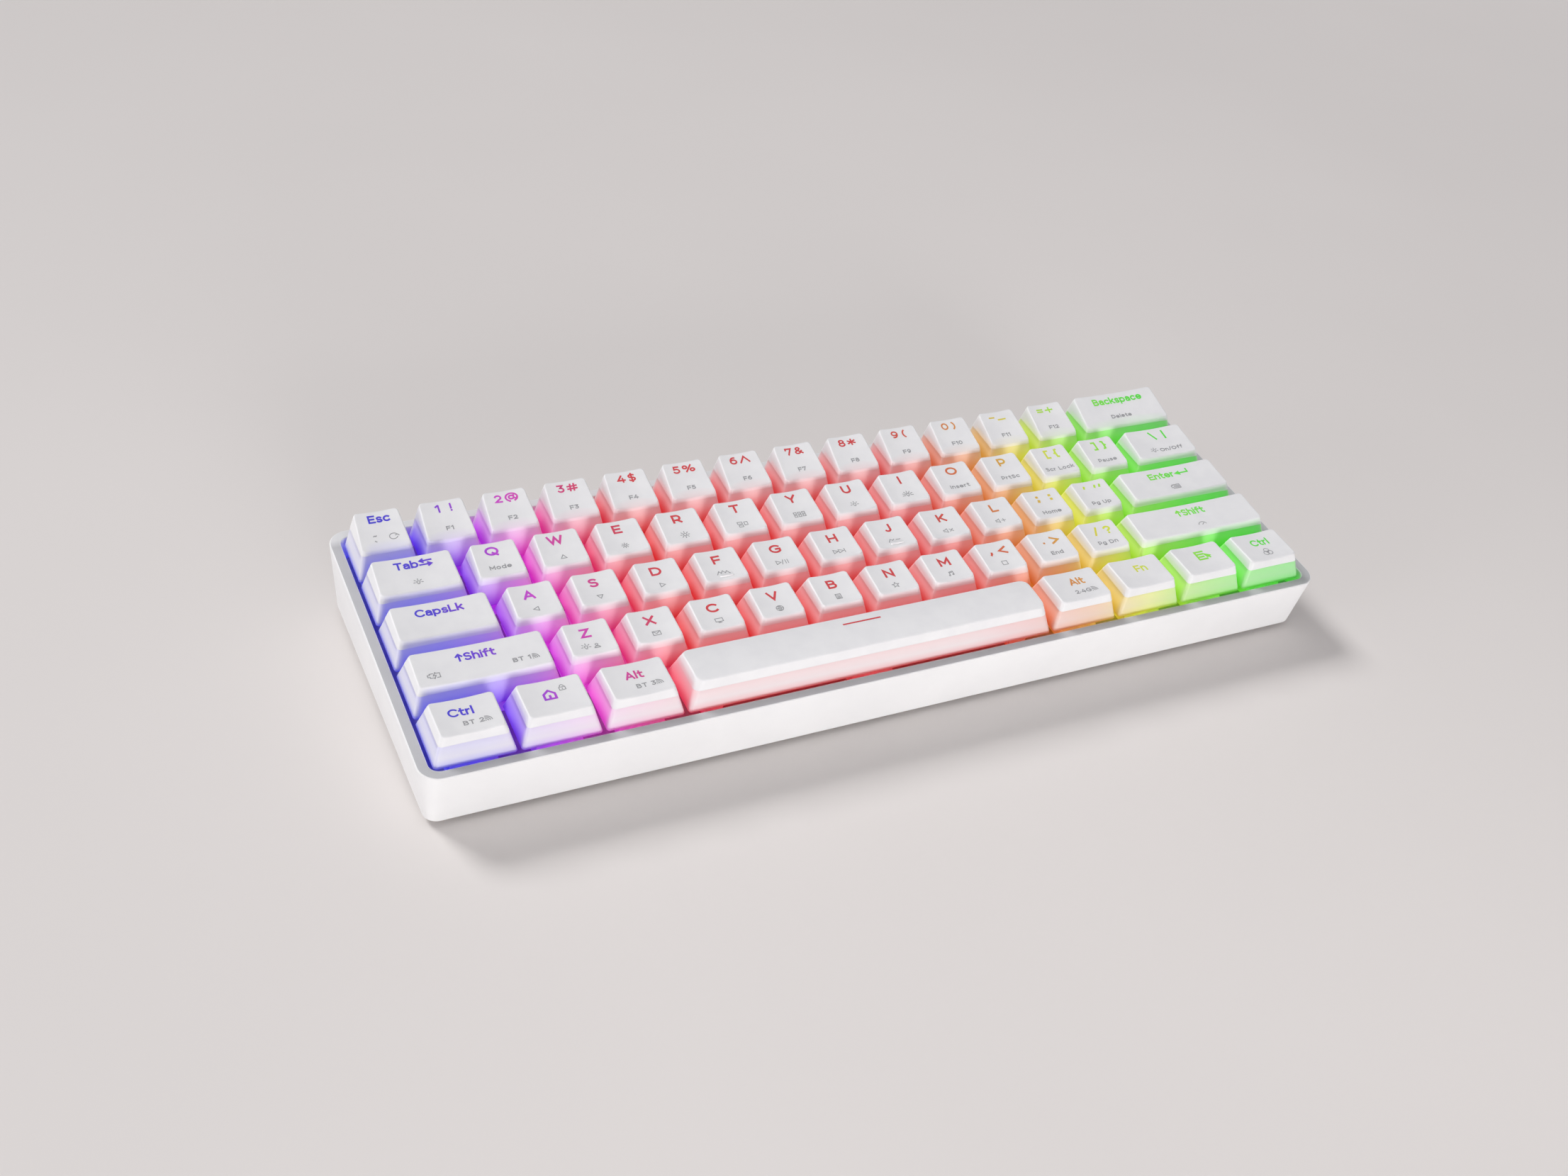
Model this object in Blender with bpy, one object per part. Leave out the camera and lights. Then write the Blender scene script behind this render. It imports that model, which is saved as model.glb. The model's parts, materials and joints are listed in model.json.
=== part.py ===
"""A compact wireless mechanical keyboard of 61 keys, built as an assembly.

Everything above the table pads is laid out in the deck frame: X runs right, Y runs back, Z is square to
the switch plate, and the origin is on the plate's top face in the middle of the key grid. The deck is
then tilted so that the wedge-shaped case stands flat on its pads, with the origin under its middle.
"""

import math

import bmesh
import bpy
from mathutils import Matrix, Vector

MM = 0.001

# Key grid
PITCH = 19.05 * MM
ROWS = 5
COLUMNS = 15
KEY_GAP = 0.95 * MM
GRID_WIDTH = COLUMNS * PITCH
GRID_DEPTH = ROWS * PITCH
KEY_TRAVEL = 4.0 * MM

# Levels in the deck frame, from the plate's top face
KEY_BASE = 5.4 * MM
RIM_LEVEL = 6.9 * MM
HOUSING_TOP = 6.0 * MM
PLATE_THICK = 1.5 * MM
SHEET_CHAMFER = 1.5 * MM
BOARD_TOP = -5.0 * MM
BOARD_THICK = 1.6 * MM
PAD_THICK = 0.4 * MM
AIR_GAP = 0.3 * MM

# Keycap sections by row: back and front height over the key's base, the top's inset at back and front, and
# how far the side walls lean in for their height
ROW_SHAPES = {
    1: {"back_z": 12.6 * MM, "front_z": 8.95 * MM, "back_in": 1.5 * MM, "front_in": 3.3 * MM, "slope": 0.210},
    2: {"back_z": 10.1 * MM, "front_z": 8.4 * MM, "back_in": 1.8 * MM, "front_in": 3.34 * MM, "slope": 0.257},
    3: {"back_z": 9.3 * MM, "front_z": 8.4 * MM, "back_in": 2.2 * MM, "front_in": 3.28 * MM, "slope": 0.280},
    4: {"back_z": 9.6 * MM, "front_z": 8.8 * MM, "back_in": 2.9 * MM, "front_in": 2.87 * MM, "slope": 0.271},
    5: {"back_z": 9.05 * MM, "front_z": 9.3 * MM, "back_in": 2.5 * MM, "front_in": 2.4 * MM, "slope": 0.287},
}
CAP_WALL = 1.3 * MM
CAP_ROOF = 1.8 * MM
CAP_CORNER = 1.5 * MM
DISH_DEPTH = 0.5 * MM
DISH_STRIPS = 6
POST_RADIUS = 2.75 * MM
POST_FOOT = 1.8 * MM

# Keys of each row from left to right: name and width in units of the pitch
KEY_ROWS = [
    [("esc", 1)] + [(name, 1) for name in "1234567890"] + [("minus", 1), ("equals", 1), ("backspace", 2)],
    [("tab", 1.5)] + [(name, 1) for name in "qwertyuiop"]
    + [("bracket_left", 1), ("bracket_right", 1), ("backslash", 1.5)],
    [("caps_lock", 1.75)] + [(name, 1) for name in "asdfghjkl"]
    + [("semicolon", 1), ("quote", 1), ("enter", 2.25)],
    [("shift_left", 2.25)] + [(name, 1) for name in "zxcvbnm"]
    + [("comma", 1), ("period", 1), ("slash", 1), ("shift_right", 2.75)],
    [("ctrl_left", 1.25), ("system", 1.25), ("alt_left", 1.25), ("space", 6.25),
     ("alt_right", 1.25), ("fn", 1.25), ("menu", 1.25), ("ctrl_right", 1.25)],
]
# Neighbours that share one node and travel together, to keep the assembly within its limit of nodes
KEY_GROUPS = {
    "keys_1_2_3": ["1", "2", "3"],
    "keys_4_5_6": ["4", "5", "6"],
    "keys_7_8_9": ["7", "8", "9"],
    "keys_0_minus_equals": ["0", "minus", "equals"],
    "keys_brackets": ["bracket_left", "bracket_right"],
    "keys_semicolon_quote": ["semicolon", "quote"],
    "keys_comma_period_slash": ["comma", "period", "slash"],
}
WEB_SIZE = (2.0 * MM, 8.0 * MM, 0.8 * MM)
# Distance from a wide key's middle to each stabiliser, by the key's least width in units
STABILISER_REACH = [(6.0, 50.0 * MM), (2.0, 11.94 * MM)]

# Switch housings and stabilisers
HOUSING_FOOT = 13.7 * MM
HOUSING_FLANGE = 14.8 * MM
HOUSING_CROWN = (9.8 * MM, 9.0 * MM)
WELL_SIZE = (7.0 * MM, 6.4 * MM)
WELL_FLOOR = -3.0 * MM
SWITCH_HOLE = 14.3 * MM
STABILISER_FOOT = (6.0 * MM, 11.4 * MM)
STABILISER_HOLE = (6.6 * MM, 12.0 * MM)
STABILISER_TOP = 3.4 * MM
STABILISER_WELL = (3.8 * MM, 7.4 * MM)
STABILISER_STEM = (2.6 * MM, 5.4 * MM)

# Case: margins outside the key grid, wall thickness and wedge
MARGIN_X = 3.8 * MM
MARGIN_Y = 4.3 * MM
OPENING_X = 0.6 * MM
OPENING_Y = 1.2 * MM
CASE_CORNER = 6.0 * MM
OPENING_CORNER = 3.0 * MM
RIM_ROUND = 0.5 * MM
FRONT_BOTTOM = -12.5 * MM
REAR_BOTTOM = -18.95 * MM
SIDE_TAPER = 1.5 * MM
FRONT_TAPER = 2.5 * MM
REAR_TAPER = 1.1 * MM
FLOOR_THICK = 2.4 * MM
CAVITY_TAPER = 1.3 * MM

# Tray-mount screws, from the grid's left and rear edges
SCREW_PLACES = [(25.2 * MM, 27.9 * MM), (260.05 * MM, 27.9 * MM), (128.2 * MM, 47.0 * MM),
                (190.5 * MM, 85.2 * MM)]
SCREW_HOLE = 1.1 * MM
SCREW_PASS = 1.4 * MM
STANDOFF_RADIUS = 2.6 * MM

# Table pads, in the tray's underside
PAD_SIZE = (24.0 * MM, 9.0 * MM)
PAD_PROUD = 1.5 * MM
PAD_SUNK = 0.9 * MM
PAD_PLACES = {"front_left": (-118, -38), "front_right": (118, -38),
              "rear_left": (-118, 38), "rear_right": (118, 38)}

# Rear interfaces, from the middle of the grid
PORT_X = -120.0 * MM
PORT_SIZE = (8.94 * MM, 7.3 * MM, 3.2 * MM)
PORT_ROUND = 1.2 * MM
PORT_WALL = 0.4 * MM
PORT_SLOT = (10.4 * MM, 4.4 * MM)
SWITCH_X = -100.0 * MM
SWITCH_TRAVEL = 3.0 * MM
KNOB_SIZE = (3.4 * MM, 4.0 * MM, 2.4 * MM)
KNOB_SLOT = (7.4 * MM, 3.2 * MM)

# Battery
BATTERY_SIZE = (96.0 * MM, 38.0 * MM, 4.4 * MM)
BATTERY_PLACE = (26.0 * MM, 24.0 * MM)

COLOURS = {
    "case_white": ((0.86, 0.86, 0.87), 0.42, 0.0),
    "keycap_white": ((0.88, 0.88, 0.89), 0.38, 0.0),
    "plate_white": ((0.82, 0.82, 0.84), 0.45, 0.3),
    "switch_clear": ((0.80, 0.82, 0.85), 0.25, 0.0),
    "board_white": ((0.78, 0.80, 0.78), 0.5, 0.0),
    "battery_wrap": ((0.28, 0.30, 0.34), 0.4, 0.0),
    "port_steel": ((0.70, 0.70, 0.72), 0.25, 1.0),
    "pad_rubber": ((0.10, 0.10, 0.11), 0.8, 0.0),
    "knob_white": ((0.80, 0.80, 0.82), 0.4, 0.0),
}


# ---------------------------------------------------------------- scene and object helpers


def clear_scene():
    for obj in list(bpy.data.objects):
        bpy.data.objects.remove(obj)


def new_collection(name):
    made = bpy.data.collections.new(name)
    bpy.context.scene.collection.children.link(made)
    return made


def new_material(name):
    colour, roughness, metallic = COLOURS[name]
    made = bpy.data.materials.new(name)
    made.use_nodes = True
    shader = made.node_tree.nodes["Principled BSDF"]
    shader.inputs["Base Color"].default_value = (*colour, 1)
    shader.inputs["Roughness"].default_value = roughness
    shader.inputs["Metallic"].default_value = metallic
    made.diffuse_color = (*colour, 1)
    return made


def add_part(name, mesh, material, parent=None, location=(0, 0, 0)):
    """A named sub-part in the keyboard's collection."""
    obj = bpy.data.objects.new(name, mesh)
    parts.objects.link(obj)
    if not mesh.materials:
        mesh.materials.append(materials[material])
    obj.parent = parent
    obj.location = location
    return obj


def add_cutter(name, mesh, parent=None, location=(0, 0, 0)):
    """A helper for a Boolean: never rendered, drawn as wire."""
    obj = bpy.data.objects.new(name, mesh)
    cutters.objects.link(obj)
    obj.parent = parent
    obj.location = location
    obj.hide_render = True
    obj.display_type = "WIRE"
    return obj


def combine(obj, other, operation):
    modifier = obj.modifiers.new(other.name, "BOOLEAN")
    modifier.operation = operation
    modifier.object = other


def mesh_from(bm, name):
    bmesh.ops.recalc_face_normals(bm, faces=bm.faces)
    mesh = bpy.data.meshes.new(name)
    bm.to_mesh(mesh)
    bm.free()
    return mesh


# ---------------------------------------------------------------- bmesh helpers


def add_box(bm, size, centre=(0, 0, 0)):
    """A box primitive; returns its vertices."""
    matrix = Matrix.Translation(centre) @ Matrix.Diagonal((*size, 1))
    return bmesh.ops.create_cube(bm, size=1, matrix=matrix)["verts"]


def add_cylinder(bm, radius, low, high, place, segments=16):
    matrix = Matrix.Translation((place[0], place[1], (low + high) / 2))
    made = bmesh.ops.create_cone(bm, cap_ends=True, segments=segments, radius1=radius, radius2=radius,
                                 depth=high - low, matrix=matrix)
    return made["verts"]


def round_upright_edges(bm, verts, radius, segments):
    """Bevels the edges that run from bottom to top among these vertices."""
    middle = sum((v.co.z for v in verts), 0) / len(verts)
    upright = {e for v in verts for e in v.link_edges
               if (e.verts[0].co.z - middle) * (e.verts[1].co.z - middle) < 0}
    bmesh.ops.bevel(bm, geom=list(upright), offset=radius, segments=segments, profile=0.5, affect="EDGES")


def end_face(bm, side):
    """The face whose middle is lowest (side -1) or highest (side 1)."""
    bm.faces.ensure_lookup_table()
    return max(bm.faces, key=lambda face: side * face.calc_center_median().z)


def step_face(bm, face, place, depth):
    """Draws a ring inside or outside the face, with its corners where place() puts them, and extrudes it."""
    for shift in (0, depth):
        made = bmesh.ops.extrude_face_region(bm, geom=[face])["geom"]
        bmesh.ops.delete(bm, geom=[face], context="FACES_ONLY")
        face = next(g for g in made if isinstance(g, bmesh.types.BMFace))
        if shift:
            bmesh.ops.translate(bm, verts=face.verts, vec=(0, 0, shift))
        else:
            targets = place(face)
            for vert, target in targets.items():
                vert.co = target
    return face


def rectangle_ring(centre, size):
    """For step_face: four corners at these half sizes, on the face's own level."""
    def place(face):
        return {v: Vector((centre[0] + math.copysign(size[0] / 2, v.co.x - centre[0]),
                           centre[1] + math.copysign(size[1] / 2, v.co.y - centre[1]), v.co.z))
                for v in face.verts}
    return place


def round_ring(radius):
    """For step_face: the face's corners spaced evenly on a circle about the Z axis, in their own order."""
    def place(face):
        ordered = sorted(face.verts, key=lambda v: math.atan2(v.co.y, v.co.x))
        step = 2 * math.pi / len(ordered)
        turn = math.atan2(ordered[0].co.y, ordered[0].co.x)
        start = -math.pi + step / 2 if abs(turn) > step else 0.0
        return {v: Vector((radius * math.cos(start + i * step), radius * math.sin(start + i * step), v.co.z))
                for i, v in enumerate(ordered)}
    return place


# ---------------------------------------------------------------- keys


def key_places():
    """Every key as (name, row, units, x, y), with x and y its middle in the deck frame."""
    for row, keys in enumerate(KEY_ROWS, start=1):
        left = 0.0
        y = GRID_DEPTH / 2 - (row - 0.5) * PITCH
        for name, units in keys:
            yield name, row, units, (left + units / 2) * PITCH - GRID_WIDTH / 2, y
            left += units


def stabiliser_reach(units):
    return next((reach for least, reach in STABILISER_REACH if units >= least), None)


def shape_outside(bm, shape, half_x, half_y):
    """The keycap's outer frustum, from the key's base at z = 0."""
    height = shape["back_z"]
    verts = add_box(bm, (2 * half_x, 2 * half_y, height), (0, 0, height / 2))
    for vert in verts:
        if vert.co.z > height / 2:
            back = vert.co.y > 0
            vert.co.y += -shape["back_in"] if back else shape["front_in"]
            vert.co.z = shape["back_z"] if back else shape["front_z"]
            vert.co.x -= math.copysign(shape["slope"] * vert.co.z, vert.co.x)
    round_upright_edges(bm, verts, CAP_CORNER, segments=1)


def hollow_inside(bm, shape, half_x, half_y):
    """The room under the cap, open below, and the round post in it that reaches down into the switch."""
    roof = min(shape["back_z"], shape["front_z"]) - CAP_ROOF - DISH_DEPTH
    mouth = end_face(bm, -1)
    shrink = Vector(((half_x - CAP_WALL) / half_x, (half_y - CAP_WALL) / half_y))
    roof_face = step_face(bm, mouth, lambda face: {
        v: Vector((v.co.x * shrink.x, v.co.y * shrink.y, v.co.z)) for v in face.verts}, roof)
    front, back = (shape[side + "_in"] * roof / shape[side + "_z"] for side in ("front", "back"))
    narrow = 1 - shape["slope"] * roof / (half_x - CAP_WALL)
    shift = (front - back) / 2
    shallow = 1 - (front + back) / 2 / (half_y - CAP_WALL)
    for vert in roof_face.verts:
        vert.co.x *= narrow
        vert.co.y = vert.co.y * shallow + shift
    foot = KEY_BASE - POST_FOOT
    step_face(bm, roof_face, round_ring(POST_RADIUS), -(roof + foot))


def facing_up(bm):
    bm.normal_update()
    return [face for face in bm.faces if face.normal.z > 0.8]


def shape_top(bm, shape, half_x, half_y, units):
    """A dish across the top of a key, or a low crown along a space bar."""
    crowned = units > 6
    low_y, high_y = -half_y + shape["front_in"], half_y - shape["back_in"]
    half_top = half_x - shape["slope"] * min(shape["front_z"], shape["back_z"])
    axis = Vector((0, 1, 0)) if crowned else Vector((1, 0, 0))
    middle = (low_y + high_y) / 2 if crowned else 0.0
    reach = (high_y - low_y) / 2 if crowned else half_top
    for i in range(1, DISH_STRIPS):
        place = middle + reach * (2 * i / DISH_STRIPS - 1)
        geom = facing_up(bm)
        geom += list({e for f in geom for e in f.edges})
        bmesh.ops.bisect_plane(bm, geom=geom, plane_co=axis * place, plane_no=axis)
    for vert in {v for f in facing_up(bm) for v in f.verts}:
        along = ((vert.co.y if crowned else vert.co.x) - middle) / reach
        bulge = 1 - min(1.0, along * along)
        vert.co.z += DISH_DEPTH * bulge * (1 if crowned else -1)


def key_mesh(row, units):
    """A keycap on its slider, with its own base at z = 0 and the switch's axis on the Z axis."""
    shape = ROW_SHAPES[row]
    half_x, half_y = (units * PITCH - KEY_GAP) / 2, (PITCH - KEY_GAP) / 2
    bm = bmesh.new()
    shape_outside(bm, shape, half_x, half_y)
    hollow_inside(bm, shape, half_x, half_y)
    shape_top(bm, shape, half_x, half_y, units)
    return mesh_from(bm, f"key_row{row}_{units}u")


def stabiliser_stems(row, units):
    """The two stems under a wide key, from inside its roof down into the stabilisers."""
    roof = min(ROW_SHAPES[row]["back_z"], ROW_SHAPES[row]["front_z"]) - CAP_ROOF - DISH_DEPTH
    low, high = POST_FOOT - KEY_BASE, roof + CAP_ROOF / 2
    bm = bmesh.new()
    for side in (-1, 1):
        add_box(bm, (*STABILISER_STEM, high - low), (side * stabiliser_reach(units), 0, (low + high) / 2))
    return mesh_from(bm, f"stems_row{row}_{units}u")


def group_mesh(name, row, offsets, single):
    """Several keycaps of one row in one mesh, at these X offsets."""
    bm = bmesh.new()
    for offset in offsets:
        placed = single.copy()
        placed.transform(Matrix.Translation((offset, 0, 0)))
        bm.from_mesh(placed)
        bpy.data.meshes.remove(placed)
    return mesh_from(bm, name)


def group_webs(name, offsets):
    """The webs low in the gaps between neighbours, which make the group one body."""
    bm = bmesh.new()
    for left, right in zip(offsets, offsets[1:]):
        add_box(bm, WEB_SIZE, ((left + right) / 2, 0, WEB_SIZE[2]))
    return mesh_from(bm, name)


def build_keys():
    """One node for each key or group of keys, with its origin on its own line of travel at the key's base."""
    singles = {}
    grouped = {member: group for group, members in KEY_GROUPS.items() for member in members}
    middles = {}
    for name, row, units, x, y in key_places():
        if (row, units) not in singles:
            singles[row, units] = key_mesh(row, units)
        if name in grouped:
            middles.setdefault(grouped[name], []).append((row, units, x, y))
            continue
        key = add_part("key_" + name, singles[row, units], "keycap_white", deck, (x, y, KEY_BASE))
        if stabiliser_reach(units):
            stems = add_cutter("stems_" + name, stabiliser_stems(row, units), deck, key.location)
            combine(key, stems, "UNION")
    for group, members in middles.items():
        row, units, _, y = members[0]
        middle = sum(x for _, _, x, _ in members) / len(members)
        offsets = [x - middle for _, _, x, _ in members]
        mesh = group_mesh(group, row, offsets, singles[row, units])
        keys = add_part(group, mesh, "keycap_white", deck, (middle, y, KEY_BASE))
        webs = add_cutter("webs_" + group, group_webs("webs_" + group, offsets), deck, keys.location)
        combine(keys, webs, "UNION")


# ---------------------------------------------------------------- plate, board and switches


def outline_curve(name, half_x, half_y, holes, round_holes, thick):
    """A flat sheet as a filled 2D curve, with square holes (x, y, size_x, size_y) and round ones."""
    curve = bpy.data.curves.new(name, "CURVE")
    curve.dimensions = "2D"
    curve.fill_mode = "BOTH"
    curve.extrude = thick / 2
    cut_x, cut_y = half_x - SHEET_CHAMFER, half_y - SHEET_CHAMFER
    loops = [[(-cut_x, -half_y), (cut_x, -half_y), (half_x, -cut_y), (half_x, cut_y),
              (cut_x, half_y), (-cut_x, half_y), (-half_x, cut_y), (-half_x, -cut_y)]]
    loops += [[(x - w / 2, y - d / 2), (x + w / 2, y - d / 2), (x + w / 2, y + d / 2), (x - w / 2, y + d / 2)]
              for x, y, w, d in holes]
    sides = 12
    loops += [[(x + r * math.cos(2 * math.pi * i / sides), y + r * math.sin(2 * math.pi * i / sides))
               for i in range(sides)] for x, y, r in round_holes]
    for loop in loops:
        spline = curve.splines.new("POLY")
        spline.points.add(len(loop) - 1)
        for point, (x, y) in zip(spline.points, loop):
            point.co = (x, y, 0, 1)
        spline.use_cyclic_u = True
    return curve


def screw_places():
    return [(x - GRID_WIDTH / 2, GRID_DEPTH / 2 - y) for x, y in SCREW_PLACES]


def build_plate():
    holes = [(x, y, SWITCH_HOLE, SWITCH_HOLE) for _, _, _, x, y in key_places()]
    for _, _, units, x, y in key_places():
        reach = stabiliser_reach(units)
        if reach:
            holes += [(x + side * reach, y, *STABILISER_HOLE) for side in (-1, 1)]
    round_holes = [(x, y, SCREW_PASS) for x, y in screw_places()]
    curve = outline_curve("switch_plate", GRID_WIDTH / 2, GRID_DEPTH / 2, holes, round_holes, PLATE_THICK)
    add_part("switch_plate", curve, "plate_white", deck, (0, 0, -PLATE_THICK / 2))


def build_board():
    """The circuit board with its screw holes, and the controller chip under it."""
    round_holes = [(x, y, SCREW_HOLE) for x, y in screw_places()]
    curve = outline_curve("circuit_board", GRID_WIDTH / 2 - OPENING_X, GRID_DEPTH / 2 - OPENING_Y / 2, [],
                          round_holes, BOARD_THICK)
    guide = add_cutter("board_outline", curve, deck, (0, 0, BOARD_TOP - BOARD_THICK / 2))
    graph = bpy.context.evaluated_depsgraph_get()
    mesh = bpy.data.meshes.new_from_object(guide.evaluated_get(graph))
    bpy.data.objects.remove(guide)
    bm = bmesh.new()
    bm.from_mesh(mesh)
    bmesh.ops.remove_doubles(bm, verts=bm.verts, dist=0.001 * MM)
    board = add_part("circuit_board", mesh_from(bm, "circuit_board"), "board_white", deck,
                     (0, 0, BOARD_TOP - BOARD_THICK / 2))
    chip = bmesh.new()
    chip_height = 1.6 * MM
    chip_level = 0.2 * MM - (BOARD_THICK + chip_height) / 2
    add_box(chip, (9 * MM, 9 * MM, chip_height), (-70 * MM, 10 * MM, chip_level))
    chip_mesh = mesh_from(chip, "controller_chip")
    combine(board, add_cutter("controller_chip", chip_mesh, deck, board.location), "UNION")


def add_housing(bm, x, y, foot, flange, crown, top, well):
    """A switch or stabiliser housing: foot through the plate, flange over it, tapered head and well."""
    low = BOARD_TOP + AIR_GAP + PAD_THICK / 2
    scratch = bmesh.new()
    add_box(scratch, (*flange, top - AIR_GAP), (x, y, (top + AIR_GAP) / 2))
    for vert in scratch.verts:
        if vert.co.z > top / 2:
            vert.co.x = x + math.copysign(crown[0] / 2, vert.co.x - x)
            vert.co.y = y + math.copysign(crown[1] / 2, vert.co.y - y)
    step_face(scratch, end_face(scratch, 1), rectangle_ring((x, y), well), WELL_FLOOR - top)
    step_face(scratch, next(f for f in scratch.faces if all(abs(v.co.z - AIR_GAP) < 1e-6 for v in f.verts)),
              rectangle_ring((x, y), foot), low - AIR_GAP)
    mesh = mesh_from(scratch, "housing")
    bm.from_mesh(mesh)
    bpy.data.meshes.remove(mesh)


def build_switch_bank():
    """All switch and stabiliser housings, standing on the thin pad that joins them under the plate."""
    housings = bmesh.new()
    for _, _, units, x, y in key_places():
        add_housing(housings, x, y, (HOUSING_FOOT, HOUSING_FOOT), (HOUSING_FLANGE, HOUSING_FLANGE),
                    HOUSING_CROWN, HOUSING_TOP, WELL_SIZE)
        reach = stabiliser_reach(units)
        for side in (-1, 1) if reach else ():
            add_housing(housings, x + side * reach, y, STABILISER_FOOT, STABILISER_FOOT, STABILISER_FOOT,
                        STABILISER_TOP, STABILISER_WELL)
    pad = bmesh.new()
    pad_size = (GRID_WIDTH - 2 * OPENING_Y, GRID_DEPTH - 2 * OPENING_Y, PAD_THICK)
    add_box(pad, pad_size, (0, 0, BOARD_TOP + AIR_GAP + PAD_THICK / 2))
    bank = add_part("switch_bank", mesh_from(pad, "switch_bank"), "switch_clear", deck)
    combine(bank, add_cutter("housings", mesh_from(housings, "housings"), deck), "UNION")
    holes = bmesh.new()
    for place in screw_places():
        add_cylinder(holes, SCREW_PASS, BOARD_TOP - PAD_THICK, BOARD_TOP + 4 * PAD_THICK, place, segments=8)
    combine(bank, add_cutter("pad_holes", mesh_from(holes, "pad_holes"), deck), "DIFFERENCE")


# ---------------------------------------------------------------- case, pads and rear interfaces


def bottom_level(y):
    """The underside's level in the deck frame, at this y."""
    front, rear = -GRID_DEPTH / 2 - MARGIN_Y + FRONT_TAPER, GRID_DEPTH / 2 + MARGIN_Y - REAR_TAPER
    return FRONT_BOTTOM + (REAR_BOTTOM - FRONT_BOTTOM) * (y - front) / (rear - front)


def deck_tilt():
    """How far the deck is tilted up at the back once the underside lies level."""
    return math.atan2(bottom_level(0.0) - bottom_level(GRID_DEPTH), GRID_DEPTH)


def tapered_body(half_x, half_y, top, side_taper, front_taper, rear_taper, raise_floor, corner, segments):
    """A box with its foot drawn in by the tapers and along the underside's slope, and round upright edges."""
    bm = bmesh.new()
    verts = add_box(bm, (2 * half_x, 2 * half_y, 2 * top))
    for vert in verts:
        if vert.co.z < 0:
            vert.co.x -= math.copysign(side_taper, vert.co.x)
            vert.co.y += -rear_taper if vert.co.y > 0 else front_taper
            vert.co.z = bottom_level(vert.co.y) + raise_floor
    round_upright_edges(bm, verts, corner, segments)
    return bm


def build_tray():
    half_x, half_y = GRID_WIDTH / 2 + MARGIN_X, GRID_DEPTH / 2 + MARGIN_Y
    body = tapered_body(half_x, half_y, RIM_LEVEL, SIDE_TAPER, FRONT_TAPER, REAR_TAPER, 0.0, CASE_CORNER, 5)
    rim = end_face(body, 1)
    base = end_face(body, -1)
    edges = list(rim.edges) + list(base.edges)
    bmesh.ops.bevel(body, geom=edges, offset=RIM_ROUND, segments=1, affect="EDGES")
    tray = add_part("case_tray", mesh_from(body, "case_tray"), "case_white", deck)

    open_x, open_y = GRID_WIDTH / 2 + OPENING_X, GRID_DEPTH / 2 + OPENING_Y
    room = tapered_body(open_x, open_y, RIM_LEVEL + MM, 0.0, CAVITY_TAPER, 0.0, FLOOR_THICK,
                        OPENING_CORNER, 3)
    combine(tray, add_cutter("tray_room", mesh_from(room, "tray_room"), deck), "DIFFERENCE")

    standoffs, bores = bmesh.new(), bmesh.new()
    top = BOARD_TOP - BOARD_THICK - AIR_GAP
    for x, y in screw_places():
        low = bottom_level(y)
        add_cylinder(standoffs, STANDOFF_RADIUS, low + FLOOR_THICK / 2, top, (x, y), segments=12)
        add_cylinder(bores, SCREW_HOLE, low + FLOOR_THICK, top + MM, (x, y), segments=8)
    combine(tray, add_cutter("standoffs", mesh_from(standoffs, "standoffs"), deck), "UNION")
    combine(tray, add_cutter("standoff_bores", mesh_from(bores, "standoff_bores"), deck), "DIFFERENCE")
    return tray


def rear_wall_y(z):
    """The outer face of the rear wall in the deck frame, at this level."""
    top_y, low_y = GRID_DEPTH / 2 + MARGIN_Y, GRID_DEPTH / 2 + MARGIN_Y - REAR_TAPER
    return top_y + (low_y - top_y) * (RIM_LEVEL - z) / (RIM_LEVEL - REAR_BOTTOM)


def rounded_bar(size, radius, segments=3):
    """A bar along Y with its four long edges rounded."""
    bm = bmesh.new()
    add_box(bm, size)
    long_edges = [e for e in bm.edges if abs(e.verts[0].co.y - e.verts[1].co.y) > size[1] / 2]
    bmesh.ops.bevel(bm, geom=long_edges, offset=radius, segments=segments, profile=0.5, affect="EDGES")
    return bm


def build_port(tray):
    """The USB-C receptacle under the board's rear edge, and the slot for its plug."""
    z = BOARD_TOP - BOARD_THICK - AIR_GAP - PORT_SIZE[2] / 2
    y = GRID_DEPTH / 2 + OPENING_Y - PORT_SIZE[1] / 2 - AIR_GAP
    body = mesh_from(rounded_bar(PORT_SIZE, PORT_ROUND), "usb_c_port")
    shell = add_part("usb_c_port", body, "port_steel", deck, (PORT_X, y, z))
    mouth_size = (PORT_SIZE[0] - 2 * PORT_WALL, PORT_SIZE[1], PORT_SIZE[2] - 2 * PORT_WALL)
    mouth = mesh_from(rounded_bar(mouth_size, PORT_ROUND - PORT_WALL), "port_mouth")
    combine(shell, add_cutter("port_mouth", mouth, deck, (PORT_X, y + MM, z)), "DIFFERENCE")
    bar = bmesh.new()
    add_box(bar, (6.0 * MM, PORT_SIZE[1] - 0.8 * MM, 0.7 * MM))
    tongue = mesh_from(bar, "port_tongue")
    combine(shell, add_cutter("port_tongue", tongue, deck, (PORT_X, y - 0.2 * MM, z)), "UNION")
    slot = rounded_bar((PORT_SLOT[0], 8 * MM, PORT_SLOT[1]), PORT_SLOT[1] / 2 - 0.2 * MM)
    combine(tray, add_cutter("port_slot", mesh_from(slot, "port_slot"), deck,
                             (PORT_X, rear_wall_y(z), z)), "DIFFERENCE")


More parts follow.
